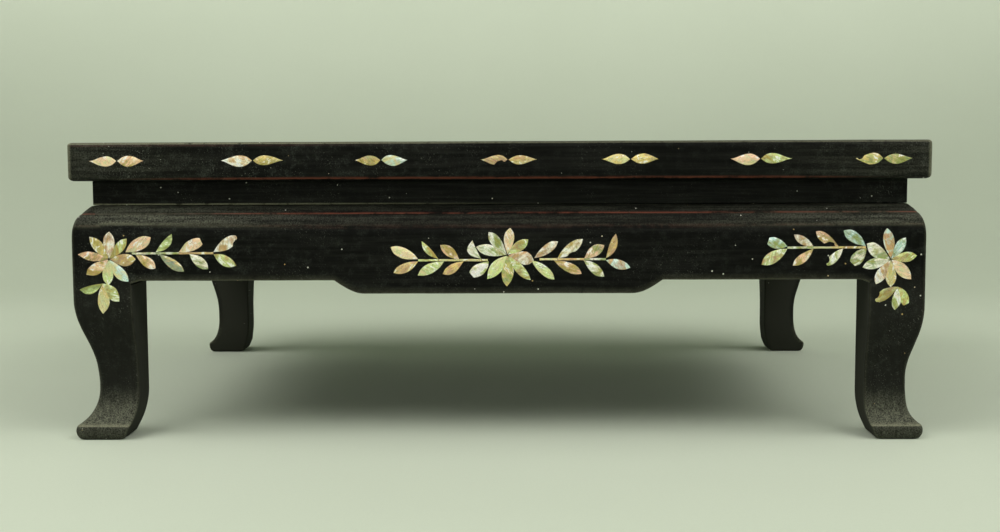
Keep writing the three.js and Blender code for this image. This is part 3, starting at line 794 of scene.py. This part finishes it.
def leg_body(place, cut):
    """The leg from the floor to the waist."""
    ankle, knee, toe, thicker, fuller = cut
    body = Body()
    rings = []
    for outer, z in leg_outer_curve(ankle, knee, toe):
        inner = leg_inner_at(z, thicker)
        spare = fuller * smooth((z - 20) / 20) * (1 - 0.6 * smooth((z - 124) / 8))
        ring = []
        for a, b in leg_ring(outer, inner, z):
            marks, nicked = leg_marks(a, b, z, outer, inner)
            body.wear(marks)
            a -= spare * (inner - a) / (inner - outer)
            ring.append(handmade(place(a, b, z), nicked))
        rings.append(ring)
    body.loft(rings)
    return body


def post_body(place):
    """The post inside the corner, from within the leg up into the top."""
    body = Body()
    rings = []
    for z in (POST_FOOT, POST_FOOT + 15, TOP_UNDER, POST_TOP - 1, POST_TOP):
        inset = 0.6 if z == POST_TOP else 0
        low = POST_OUTER + inset
        high = LEG_INNER - 0.1 - inset
        ring = rounded_box(low, low, high, high, POST_ROUND, 3)
        for _ in ring:
            body.wear({"unpolished": 1})
        rings.append([place(a, b, z) for a, b in ring])
    body.loft(rings)
    return body


def join_post(leg, post):
    """Joins the post into the leg as one closed solid."""
    union = leg.modifiers.new("post", "BOOLEAN")
    union.operation = "UNION"
    union.solver = "EXACT"
    union.object = post
    bpy.context.view_layer.update()
    depsgraph = bpy.context.evaluated_depsgraph_get()
    joined = bpy.data.meshes.new_from_object(leg.evaluated_get(depsgraph))
    leg.modifiers.clear()
    leg.data = joined
    bpy.data.objects.remove(post)


def make_leg(name, right, back, material):
    def place(a, b, z):
        return (right * (WIDTH / 2 - a), back * (DEPTH / 2 - b), z)

    leg = add_object(f"corner_leg_{name}", leg_body(place, LEG_CUTS[name]))
    join_post(leg, add_object(f"post_{name}", post_body(place)))
    settle(leg, material, f"leg_{name}")


# ---------------------------------------------------------------- inlay

# Shell colours by letter: olive gold, pink, green, silver white and blue grey, as (tone, flash).
TINTS = {
    "o": ((0.38, 0.28, 0.070), (0.72, 0.58, 0.19)),
    "p": ((0.50, 0.29, 0.14), (0.98, 0.62, 0.40)),
    "g": ((0.29, 0.33, 0.090), (0.62, 0.76, 0.30)),
    "w": ((0.66, 0.63, 0.34), (1.0, 1.0, 0.84)),
    "b": ((0.25, 0.29, 0.21), (0.56, 0.80, 0.74)),
}
LEAF_STATIONS = 24
LEAF_FACETS = 6
LEAF_THIN = 0.07

# How swollen a leaf is near its base and how drawn out its tip is: the larger, the more pointed.
SPRAY_LEAF = (1, 0.74)
EDGE_LEAF = (0.95, 1.45)


def leaf_half_width(share, swell, taper):
    """Half the width of a leaf pointed at both ends, 1 at its widest."""
    widest = swell / (swell + taper)
    peak = widest ** swell * (1 - widest) ** taper
    return share ** swell * (1 - share) ** taper / peak


def cut_edge(dice, swell, taper):
    """One hand-cut edge of a leaf, as a function from the share along it to its distance out."""
    swell *= dice.uniform(0.85, 1.15)
    taper *= dice.uniform(0.85, 1.2)
    full = dice.uniform(0.9, 1.06)
    corners = []
    for facet in range(LEAF_FACETS + 1):
        share = facet / LEAF_FACETS
        corners.append(leaf_half_width(share, swell, taper) * dice.uniform(0.93, 1.07))

    def edge(share):
        facet = min(int(share * LEAF_FACETS), LEAF_FACETS - 1)
        along = share * LEAF_FACETS - facet
        faceted = corners[facet] * (1 - along) + corners[facet + 1] * along
        return full * (faceted + leaf_half_width(share, swell, taper)) / 2

    return edge


# Ways a leaf is cut or broken, by letter: how full its left and right edges are, where its tip is
# cut off, and what is bitten out of it as (left or right, middle, half its length, depth).
CUTS = {
    "": (1, 1, 1, None),
    "s": (0.35, 1.2, 1, None),
    "t": (1.25, 0.25, 1, None),
    "c": (2.0, -0.1, 1, None),
    "b": (1.1, 1.1, 0.87, None),
    "n": (1, 1.05, 0.97, ("right", 0.8, 0.13, 1.3)),
    "m": (1, 1, 1, ("left", 0.3, 0.2, 2.1)),
    "r": (1, 1.1, 1, ("right", 0.42, 0.14, 0.9)),
}


def shell_ring(u, centre, half, rim, face, crown):
    """One section of a sliver: sunk sides, bevelled rims and the face, as (u, v, w, rim)."""
    left = [
        (u, centre - half, -SHELL_SUNK, 1),
        (u, centre - half, SHELL_PROUD - SHELL_BEVEL, 1),
        (u, centre - half + rim, face, 0),
    ]
    right = [(u, 2 * centre - v, w, on_rim) for u, v, w, on_rim in reversed(left)]
    return left + crown + right


def cut_leaf(dice, length, width, leaf_shape, cut):
    """A hand-cut leaf along +U, as rings."""
    left_full, right_full, tip, bite = CUTS[cut]
    left_edge = cut_edge(dice, *leaf_shape)
    right_edge = cut_edge(dice, *leaf_shape)
    bow = dice.uniform(-0.06, 0.06) * width
    crown = dice.uniform(0.02, 0.07)
    rings = []
    for station in range(LEAF_STATIONS + 1):
        share = tip * (1 - math.cos(math.pi * station / LEAF_STATIONS)) / 2
        left = left_edge(share) * left_full * width / 2
        right = right_edge(share) * right_full * width / 2
        if bite:
            where, middle, half_long, deep = bite
            taken = deep * smooth(1.6 * falloff(abs(share - middle), half_long))
            if where == "left":
                left -= taken
            else:
                right -= taken
        centre = bow * math.sin(math.pi * share) + (left - right) / 2
        half = max((left + right) / 2, LEAF_THIN)
        u = share * length
        rim = min(0.22, half * 0.4)
        top = SHELL_PROUD + crown * math.sin(math.pi * share)
        rings.append(shell_ring(u, centre, half, rim, SHELL_PROUD, [(u, centre, top, 0)]))
    return rings


def cut_strip(dice, length, width):
    """A narrow strip along +U, as rings."""
    rings = []
    steps = max(2, round(length / 2.5))
    for step in range(steps + 1):
        half = width / 2 * dice.uniform(0.86, 1.08)
        shift = dice.uniform(-0.06, 0.06)
        u = length * step / steps
        rings.append(shell_ring(u, shift, half, 0.3 * half, SHELL_PROUD - 0.02, []))
    return rings


def lay(body, dice, rings, base, degrees, tints, surface):
    """Puts one cut piece of shell on a surface, with its base and direction in the design's plane."""
    angle = math.radians(degrees)
    cos, sin = math.cos(angle), math.sin(angle)
    tone = TINTS[tints[0]][0]
    flash = TINTS[tints[1]][1]
    brightness = dice.uniform(1.0, 1.32)
    grain_angle = dice.uniform(-0.9, 0.9)
    grain_cos, grain_sin = math.cos(grain_angle), math.sin(grain_angle)
    shift = dice.uniform(0, 900)
    placed = []
    for ring in rings:
        new_ring = []
        for u, v, w, rim in ring:
            new_ring.append(surface(base[0] + u * cos - v * sin, base[1] + u * sin + v * cos, w))
            body.mark("tone", [part * brightness for part in tone] + [1])
            body.mark("flash", [part * brightness for part in flash] + [1])
            body.mark("rim", rim)
            body.mark("leaf_place", (
                u * grain_cos - v * grain_sin, u * grain_sin + v * grain_cos, shift,
            ))
        placed.append(new_ring)
    body.loft(placed)


STEM_TINTS = ("op", "po", "gw", "wo", "og")


def lay_stem(body, dice, start, end, joints, surface):
    """A stem from start to end as short strips that meet at the joints, level in the design."""
    heading = 0 if end[0] > start[0] else 180
    joints = [joint for joint in joints if abs(joint) > abs(start[0])]
    places = sorted({start[0], *joints, end[0]}, reverse=heading == 180)
    for from_x, to_x in zip(places, places[1:]):
        long = abs(to_x - from_x)
        if long < 1.5:
            continue
        strip = cut_strip(dice, long - HAIRLINE, STEM_WIDE)
        lay(body, dice, strip, (from_x, start[1]), heading, dice.choice(STEM_TINTS), surface)


def shuffled_tints(dice, plain):
    """The tints as designed for the front, and drawn afresh for any other place."""
    if plain:
        return lambda tints: tints
    return lambda tints: dice.choice("ooppgwwb") + dice.choice("owgpw")


def spray_body(name, design, pair_count, surface, as_designed):
    dice = random.Random(name)
    tint = shuffled_tints(dice, as_designed)
    body = Body()

    def add_leaf(base, angle, length, width, tints):
        leaf = cut_leaf(dice, length, width, SPRAY_LEAF, tints[2:])
        lay(body, dice, leaf, base, angle, tint(tints), surface)

    gap = 0.5
    for angle, length, width, tints in design["petals"]:
        base = (gap * math.cos(math.radians(angle)), gap * math.sin(math.radians(angle)))
        add_leaf(base, angle, length - gap, width, tints)
    for stem in design["stems"]:
        leaves = stem["above"][:pair_count] + stem["below"][:pair_count]
        direction = math.copysign(1, stem["start"])
        tip = direction * (max(abs(leaf[0]) for leaf in leaves) + STEM_TIP)
        rise = stem["rise"]
        joints = [leaf[0] for leaf in stem["above"][:pair_count]]
        lay_stem(body, dice, (stem["start"], rise), (tip, rise), joints, surface)
        for along, angle, length, width, tints in leaves:
            off_stem = math.copysign(STEM_WIDE / 2, math.sin(math.radians(angle)))
            add_leaf((along, rise + off_stem), angle, length - 0.4, width, tints)
    if design["sprig"]:
        base, leaves = design["sprig"]
        for angle, length, width, tints in leaves:
            add_leaf(base, angle, length, width, tints)
    return body


def on_side(side, inset, at_x, at_z):
    """An upright surface on a side, inset from its outermost face."""
    def surface(p, q, w):
        return side.placed(at_x + p, -side.half + inset - w, at_z + q)
    return surface


def on_top(at_x, at_y, flip_x, flip_y):
    """A surface on the top's panel, its design turned over where a flip is -1."""
    def surface(p, q, w):
        return (at_x + flip_x * p, at_y + flip_y * q, HEIGHT - PANEL_BELOW + w)
    return surface


def add_inlay(name, body, material):
    settle(add_object(f"shell_{name}", body), material, f"inlay_{name}")


def make_side_sprays(side, material):
    corner_x = side.run / 2 - CORNER_FLOWER_IN
    center_x = CENTER_FLOWER_SHIFT if side.long else 0
    corner_pairs = 4 if side.long else 3
    center_pairs = 4 if side.long else 2
    for place, design, pairs, x, z in (
        ("left", LEFT_SPRAY, corner_pairs, -corner_x, LEFT_FLOWER_Z),
        ("center", CENTER_SPRAY, center_pairs, center_x, CENTER_FLOWER_Z),
        ("right", RIGHT_SPRAY, corner_pairs, corner_x, RIGHT_FLOWER_Z),
    ):
        name = f"{side.name}_{place}_spray"
        body = spray_body(name, design, pairs, on_side(side, SKIRT_INSET, x, z), side.name == "front")
        add_inlay(name, body, material)


def make_edge_pairs(side, material):
    for number, (middle, left_long, right_long, left_tints, right_tints) in enumerate(side.pairs, 1):
        name = f"{side.name}_edge_pair_{number}"
        dice = random.Random(name)
        tint = shuffled_tints(dice, side.name == "front")
        body = Body()
        for degrees, long, tints in ((180, left_long, left_tints), (0, right_long, right_tints)):
            width = EDGE_LEAF_WIDE * dice.uniform(0.92, 1.1)
            leaf = cut_leaf(dice, long - 0.3, width, EDGE_LEAF, tints[2:])
            start = 0.3 if degrees == 0 else -0.3
            lay(body, dice, leaf, (start, 0), degrees, tint(tints), on_side(side, 0, middle, EDGE_LEAF_Z))
        add_inlay(name, body, material)


def make_top_sprays(material):
    x = WIDTH / 2 - TOP_FLOWER_IN
    y = DEPTH / 2 - TOP_FLOWER_IN
    for place, design, at_x, at_y, flip_x, flip_y in (
        ("front_left", LEFT_SPRAY, -x, -y, 1, -1),
        ("front_right", LEFT_SPRAY, x, -y, -1, -1),
        ("back_left", LEFT_SPRAY, -x, y, 1, 1),
        ("back_right", LEFT_SPRAY, x, y, -1, 1),
        ("center", CENTER_SPRAY, 0, 0, 1, 1),
    ):
        name = f"top_{place}_spray"
        surface = on_top(at_x, at_y, flip_x, flip_y)
        add_inlay(name, spray_body(name, design, 4, surface, False), material)


# ---------------------------------------------------------------- materials


class Painter:
    """Builds one material. Each call adds a node, and returns its result to use in the next."""

    def __init__(self, name):
        self.material = bpy.data.materials.new(name)
        self.material.use_nodes = True
        self.tree = self.material.node_tree
        self.tree.nodes.clear()

    def node(self, kind, inputs, **settings):
        made = self.tree.nodes.new(kind)
        for name, value in settings.items():
            setattr(made, name, value)
        for name, value in inputs.items():
            if isinstance(value, bpy.types.NodeSocket):
                self.tree.links.new(value, made.inputs[name])
            else:
                made.inputs[name].default_value = value
        return made

    def millimetres(self):
        """The piece's own coordinates in millimetres."""
        place = self.node("ShaderNodeTexCoord", {}).outputs["Object"]
        return self.scaled(place, [1 / MM] * 3)

    def scaled(self, vector, scale):
        made = self.node("ShaderNodeVectorMath", {0: vector, 1: scale}, operation="MULTIPLY")
        return made.outputs[0]

    def noise(self, vector, scale, detail=3, roughness=0.5, distortion=0):
        made = self.node("ShaderNodeTexNoise", {
            "Vector": vector, "Scale": scale, "Detail": detail,
            "Roughness": roughness, "Distortion": distortion,
        })
        return made.outputs["Fac"]

    def cells(self, vector, scale):
        """Distance to the nearest of scattered points, and three random numbers for each of them."""
        made = self.node("ShaderNodeTexVoronoi", {"Vector": vector, "Scale": scale})
        numbers = self.node("ShaderNodeSeparateColor", {"Color": made.outputs["Color"]})
        return made.outputs["Distance"], *numbers.outputs

    def band(self, value, low, high):
        """0 up to low and 1 from high on, with an easy slope between."""
        made = self.node(
            "ShaderNodeMapRange", {"Value": value, "From Min": low, "From Max": high},
            interpolation_type="SMOOTHSTEP",
        )
        return made.outputs["Result"]

    def between(self, value, low, high):
        """Spreads a value from 0 to 1 over the range from low to high."""
        made = self.node("ShaderNodeMapRange", {"Value": value, "To Min": low, "To Max": high})
        return made.outputs["Result"]

    def mixed(self, factor, first, second):
        """A number that goes from first to second as factor goes from 0 to 1."""
        made = self.node("ShaderNodeMix", {0: factor, 2: first, 3: second})
        return made.outputs[0]

    def math(self, operation, first, second=0.0):
        made = self.node("ShaderNodeMath", {0: first, 1: second}, operation=operation)
        return made.outputs[0]

    def times(self, *values):
        return functools.reduce(lambda first, second: self.math("MULTIPLY", first, second), values)

    def plus(self, *values):
        return functools.reduce(lambda first, second: self.math("ADD", first, second), values)

    def blend(self, factor, first, second):
        inputs = {"Fac": factor, "Color1": first, "Color2": second}
        return self.node("ShaderNodeMixRGB", inputs, use_clamp=True).outputs["Color"]

    def ramp(self, value, stops):
        """A colour ramp with its stops given as (position, colour)."""
        made = self.node("ShaderNodeValToRGB", {"Fac": value})
        elements = made.color_ramp.elements
        while len(elements) < len(stops):
            elements.new(0.5)
        for element, (position, colour) in zip(elements, stops):
            element.position = position
            element.color = (*colour, 1)
        return made.outputs["Color"]

    def mark(self, name, kind="Fac"):
        """A mark of the mesh as a number, or as a Color or Vector."""
        return self.node("ShaderNodeAttribute", {}, attribute_name=name).outputs[kind]

    def bump(self, height, distance, strength):
        inputs = {"Height": height, "Distance": distance * MM, "Strength": strength}
        return self.node("ShaderNodeBump", inputs).outputs["Normal"]

    def finish(self, inputs):
        shader = self.node("ShaderNodeBsdfPrincipled", inputs).outputs["BSDF"]
        self.node("ShaderNodeOutputMaterial", {"Surface": shader})
        return self.material


BLACK = (0.0030, 0.0033, 0.0026, 1)
FADED = (0.0095, 0.0102, 0.0080, 1)
GREYED = (0.030, 0.034, 0.028, 1)
BROWN = (0.115, 0.034, 0.021, 1)
DUST_AND_SHEEN = (0.150, 0.155, 0.112, 1)
PALE_RUB_AND_HIGHLIGHT = (0.31, 0.31, 0.21, 1)
INNER_WITH_PAINTED_FILL = (0.034, 0.035, 0.028, 1)
SCRATCH = (0.13, 0.135, 0.11, 1)
WHITE_SPECK = (0.62, 0.62, 0.54, 1)
GOLD_SPECK = (0.46, 0.33, 0.13, 1)
PALE_GROUND = (0.56, 0.40, 0.20, 1)


def brush_marks(paint, here, along):
    """Streaks that run along one axis, and level ones round the shoulder of an upright piece."""
    drawn_out = paint.scaled(here, [0.022 if axis == along else 0.5 for axis in "xyz"])
    streaks = paint.noise(drawn_out, 1.0, 5, 0.62)
    if along != "z":
        return streaks
    level = paint.noise(paint.scaled(here, (0.022, 0.022, 0.5)), 1.0, 5, 0.62)
    height = paint.node("ShaderNodeSeparateXYZ", {0: here}).outputs["Z"]
    return paint.mixed(paint.band(height, SHOULDER_START - 4, SHOULDER_START + 6), streaks, level)


def scratches(paint, here, turn):
    """Short thin scratches that all run one way."""
    turned = paint.node("ShaderNodeMapping", {"Vector": here, "Rotation": turn}).outputs[0]
    drawn_out = paint.scaled(turned, (0.1, 1.9, 1.9))
    return paint.band(paint.noise(drawn_out, 1.0, 2, 0.5), 0.66, 0.71)


def lacquer(name, along):
    """Old black lacquer, its brush marks running along the given axis."""
    paint = Painter(name)
    here = paint.millimetres()
    streaks = brush_marks(paint, here, along)
    mottle = paint.noise(here, 0.035, 5, 0.62)
    patches = paint.noise(here, 0.20, 5, 0.66)
    grit = paint.noise(here, 1.3, 4, 0.75)
    aged = paint.mark("aged")

    strength = 0.4 if along == "z" else 1.0
    faded = paint.times(paint.band(streaks, 0.40, 0.72), paint.between(mottle, 0.1, 1.5), strength)
    colour = paint.blend(faded, BLACK, FADED)
    greyed = paint.times(
        paint.band(paint.plus(paint.times(patches, 0.55), paint.times(grit, 0.45)), 0.49, 0.66),
        paint.between(aged, 0.1, 0.95),
    )
    colour = paint.blend(greyed, colour, GREYED)
    # Inner faces: dull lacquer, lightened as painted fill light.
    unpolished = paint.mark("unpolished")
    colour = paint.blend(unpolished, colour, INNER_WITH_PAINTED_FILL)
    scuffed = paint.times(
        paint.plus(scratches(paint, here, (0.1, 0.6, 0.7)), scratches(paint, here, (0.2, -0.9, -0.5))),
        paint.band(mottle, 0.46, 0.62), paint.between(aged, 0.15, 0.8),
    )
    colour = paint.blend(scuffed, colour, SCRATCH)

    bare = paint.times(
        paint.band(paint.mark("bared"), 0.08, 0.7),
        paint.band(paint.plus(paint.times(streaks, 0.6), paint.times(patches, 0.4)), 0.40, 0.54),
    )
    colour = paint.blend(bare, colour, BROWN)
    # Dust, with a painted sheen on the shoulders and painted light on the tops of the feet.
    dusty = paint.times(
        paint.mark("dusty"), paint.between(paint.band(streaks, 0.36, 0.62), 0.6 if along == "z" else 0.3, 1),
        paint.band(grit, 0.34, 0.64),
    )
    colour = paint.blend(dusty, colour, DUST_AND_SHEEN)
    # Pale lines: rubbed wear, and painted highlights along the arrises that catch the light.
    pale = paint.times(
        paint.mark("pale"), paint.band(patches, 0.26, 0.46), paint.between(grit, 0.1, 1.5),
    )
    colour = paint.blend(pale, colour, PALE_RUB_AND_HIGHLIGHT)

    distance, chance, size, kind = paint.cells(here, 0.31)
    speck = paint.times(
        paint.math("LESS_THAN", distance, paint.between(size, 0.035, 0.15)),
        paint.math("GREATER_THAN", paint.plus(chance, paint.times(aged, 0.13)), 0.955),
    )
    speck_colour = paint.blend(paint.band(kind, 0.6, 0.75), WHITE_SPECK, GOLD_SPECK)
    colour = paint.blend(paint.times(speck, paint.between(size, 0.35, 1)), colour, speck_colour)
    chip = paint.band(paint.plus(paint.mark("chipped"), paint.times(grit, 0.5)), 0.62, 0.74)
    colour = paint.blend(chip, colour, PALE_GROUND)

    roughness = paint.plus(
        paint.between(mottle, 0.26, 0.48), paint.times(dusty, 0.4), paint.times(bare, 0.2),
        paint.times(greyed, 0.12), paint.times(unpolished, 0.25),
    )
    shine = paint.times(
        paint.between(streaks, 0.02, 0.11), paint.math("SUBTRACT", 1.0, paint.times(unpolished, 0.8)),
    )
    height = paint.plus(
        paint.times(streaks, 0.5), paint.times(grit, 0.12), paint.times(dusty, 0.4),
        paint.times(speck, 0.6), paint.times(patches, 0.3),
    )
    return paint.finish({
        "Base Color": colour,
        "Roughness": roughness,
        "Specular IOR Level": shine,
        "Normal": paint.bump(height, 0.14, 0.5),
    })


def nacre():
    """Mother-of-pearl: patches and bands of layered colour, painted pale glints, stains and dark cut rims.
    """
    paint = Painter("mother_of_pearl_shell")
    place = paint.mark("leaf_place", "Vector")
    bands = paint.noise(paint.scaled(place, (0.08, 0.30, 1)), 1.0, 3, 0.55, 0.8)
    patches = paint.noise(place, 0.17, 3, 0.6, 0.4)
    fine = paint.noise(paint.scaled(place, (0.2, 0.65, 1)), 1.0, 4, 0.6, 0.3)
    crumbs = paint.noise(place, 0.9, 4, 0.7)

    mixed = paint.plus(paint.times(bands, 0.35), paint.times(patches, 0.58), paint.times(fine, 0.07))
    tone, flash = paint.mark("tone", "Color"), paint.mark("flash", "Color")
    colour = paint.blend(paint.band(mixed, 0.42, 0.58), tone, flash)
    rainbow = paint.ramp(paint.math("FRACT", paint.times(bands, 3.4)), [
        (0.0, (0.92, 0.38, 0.26)), (0.22, (0.86, 0.62, 0.14)), (0.48, (0.42, 0.66, 0.18)),
        (0.66, (0.26, 0.62, 0.60)), (0.82, (0.64, 0.38, 0.60)), (1.0, (0.92, 0.38, 0.26)),
    ])
    colour = paint.blend(paint.times(paint.band(crumbs, 0.3, 0.7), 0.24), colour, rainbow)
    # Painted glints: near-white highlights painted into the shell's colour.
    painted_glint = paint.times(paint.band(fine, 0.50, 0.56), paint.band(patches, 0.53, 0.58))
    colour = paint.blend(paint.times(painted_glint, 0.85), colour, (1.0, 1.0, 0.95, 1))
    line = paint.times(
        paint.band(fine, 0.46, 0.48), paint.math("SUBTRACT", 1.0, paint.band(fine, 0.49, 0.51)),
    )
    colour = paint.blend(paint.times(line, 0.35), colour, (0.16, 0.11, 0.05, 1))
    stain = paint.band(paint.plus(paint.times(patches, 0.5), paint.times(crumbs, 0.5)), 0.58, 0.66)
    colour = paint.blend(paint.times(stain, 0.55), colour, (0.22, 0.14, 0.05, 1))
    colour = paint.blend(paint.times(paint.mark("rim"), 0.8), colour, (0.05, 0.03, 0.012, 1))

    height = paint.plus(paint.times(fine, 0.6), paint.times(crumbs, 0.25), paint.times(bands, 0.8))
    return paint.finish({
        "Base Color": colour,
        "Metallic": 0.35,
        "Roughness": paint.between(fine, 0.18, 0.4),
        "Coat Weight": 0.4,
        "Coat Roughness": 0.1,
        "Normal": paint.bump(height, 0.3, 0.8),
    })


def inner_wood():
    """Unlacquered wood, with its grain along Y."""
    paint = Painter("inner_wood_grain")
    here = paint.millimetres()
    grain = paint.noise(paint.scaled(here, (0.6, 0.02, 0.6)), 1.0, 6, 0.65, 0.5)
    pores = paint.noise(paint.scaled(here, (3, 0.12, 3)), 1.0, 3, 0.7)
    colour = paint.ramp(grain, [
        (0.25, (0.030, 0.016, 0.008)), (0.5, (0.070, 0.038, 0.019)), (0.75, (0.115, 0.066, 0.034)),
    ])
    colour = paint.blend(paint.times(paint.band(pores, 0.6, 0.7), 0.6), colour, (0.015, 0.009, 0.005, 1))
    height = paint.plus(grain, paint.times(pores, 0.5))
    return paint.finish({
        "Base Color": colour,
        "Roughness": paint.between(grain, 0.62, 0.85),
        "Normal": paint.bump(height, 0.2, 0.6),
    })


def paper():
    """The pale sage floor and backdrop."""
    paint = Painter("sage_paper")
    here = paint.millimetres()
    fibre = paint.noise(here, 0.5, 4, 0.7)
    cloud = paint.noise(here, 0.004, 2)
    colour = paint.blend(paint.between(cloud, 0, 1), (0.57, 0.63, 0.51, 1), (0.61, 0.67, 0.55, 1))
    colour = paint.blend(paint.times(fibre, 0.14), colour, (0.42, 0.46, 0.38, 1))
    flecks = paint.band(paint.noise(here, 1.6, 2, 0.6), 0.5, 0.75)
    colour = paint.blend(paint.times(flecks, 0.16), colour, (0.36, 0.41, 0.33, 1))
    return paint.finish({
        "Base Color": colour,
        "Roughness": paint.between(fibre, 0.7, 0.9),
        "Normal": paint.bump(fibre, 0.15, 0.4),
    })


# ---------------------------------------------------------------- floor, light and camera


BOWL_MIDDLE = -1500
FLAT_RADIUS = 2200
BEND_RADIUS = 1100
BEND_STEPS = 24
WALL_TOP = 4200
BOWL_AROUND = 96


def bowl_profile():
    """The floor and the wall it curves up into, as (distance from the bowl's middle, height)."""
    line = [(FLAT_RADIUS * share, 0) for share in (0.25, 0.5, 0.75, 1)]
    for step in range(1, BEND_STEPS + 1):
        angle = QUARTER * step / BEND_STEPS
        line.append((FLAT_RADIUS + BEND_RADIUS * math.sin(angle), BEND_RADIUS * (1 - math.cos(angle))))
    line.append((FLAT_RADIUS + BEND_RADIUS, WALL_TOP))
    return line


def make_floor():
    """A seamless pale bowl: flat under the stand, curving up into a wall all round it."""
    around = BOWL_AROUND
    points = [(0, BOWL_MIDDLE * MM, 0)]
    faces = [(0, step + 1, (step + 1) % around + 1) for step in range(around)]
    for row, (radius, z) in enumerate(bowl_profile()):
        for step in range(around):
            angle = 4 * QUARTER * step / around
            x = radius * math.cos(angle)
            y = BOWL_MIDDLE + radius * math.sin(angle)
            points.append((x * MM, y * MM, z * MM))
            if row:
                low = 1 + (row - 1) * around
                after = (step + 1) % around
                faces.append((low + step, low + around + step, low + around + after, low + after))
    mesh = bpy.data.meshes.new("backdrop")
    mesh.from_pydata(points, [], faces)
    mesh.polygons.foreach_set("use_smooth", [True] * len(faces))
    mesh.materials.append(paper())
    floor = bpy.data.objects.new("backdrop", mesh)
    bpy.context.scene.collection.objects.link(floor)


WARM_WHITE = (1, 0.985, 0.95)


def make_softbox(name, place, aim, size, watts, spread_degrees=180):
    """A rectangular light of the given size in metres, at place and turned towards aim."""
    light = bpy.data.lights.new(name, "AREA")
    light.shape = "RECTANGLE"
    light.size, light.size_y = size
    light.energy = watts
    light.spread = math.radians(spread_degrees)
    light.color = WARM_WHITE
    lamp = bpy.data.objects.new(name, light)
    lamp.location = place
    lamp.rotation_euler = (Vector(aim) - Vector(place)).to_track_quat("-Z", "Y").to_euler()
    bpy.context.scene.collection.objects.link(lamp)


def make_lights():
    make_softbox("left", (-1.1, -0.65, 1.3), (0, 0, 0.05), (1.9, 0.8), 20.5)
    make_softbox("right", (1.1, -0.65, 1.3), (0, 0, 0.05), (1.9, 0.8), 18)
    make_softbox("overhead", (0, -0.8, 1.7), (0, -0.3, 0), (1.2, 0.8), 3)
    make_softbox("front", (0, -1.9, 0.7), (0, 0, 0.1), (1.5, 0.5), 4.5)
    make_softbox("backdrop_top", (0, 0.8, 1.35), (0, 1.7, 0.6), (4.2, 0.2), 5, 70)
    for name, x, y in (("wall_left", -1, 0), ("wall_right", 1, 0), ("wall_front", 0, -1)):
        place = (1.7 * x, -1.2 + 1.7 * y, 1.5)
        aim = (2.8 * x, -1.2 + 2.8 * y, 0.5)
        make_softbox(name, place, aim, (3.2, 0.3), 5, 90)
    world = bpy.data.worlds.new("studio")
    world.use_nodes = True
    background = world.node_tree.nodes["Background"]
    background.inputs["Color"].default_value = (0.85, 0.95, 0.8, 1)
    background.inputs["Strength"].default_value = 0.08
    bpy.context.scene.world = world


def make_camera():
    data = bpy.data.cameras.new("camera")
    data.lens = 50
    data.sensor_width = 36
    data.clip_start = 0.02
    camera = bpy.data.objects.new("camera", data)
    turn = Matrix.Rotation(math.radians(0.92), 4, "Z")
    tilt = Matrix.Rotation(math.radians(90 - 4.98), 4, "X")
    roll = Matrix.Rotation(math.radians(-0.22), 4, "Z")
    camera.matrix_world = Matrix.Translation((0.01346, -0.95426, 0.16586)) @ turn @ tilt @ roll
    bpy.context.scene.collection.objects.link(camera)
    bpy.context.scene.camera = camera


# ---------------------------------------------------------------- assembly

along_x = lacquer("black_lacquer_along_x", "x")
along_y = lacquer("black_lacquer_along_y", "y")
along_z = lacquer("black_lacquer_along_z", "z")
shell = nacre()

for side in SIDES:
    board_lacquer = along_x if side.long else along_y
    make_top_rail(side, board_lacquer)
    make_waist(side, board_lacquer)
    make_apron(side, board_lacquer)
    make_side_sprays(side, shell)
    make_edge_pairs(side, shell)

for name, right, back in (
    ("front_left", -1, -1), ("front_right", 1, -1), ("back_left", -1, 1), ("back_right", 1, 1),
):
    make_leg(name, right, back, along_z)

make_top_panel(along_x)
make_battens(inner_wood())
make_top_sprays(shell)
make_floor()
make_lights()
make_camera()
bpy.context.scene.view_settings.view_transform = "Standard"
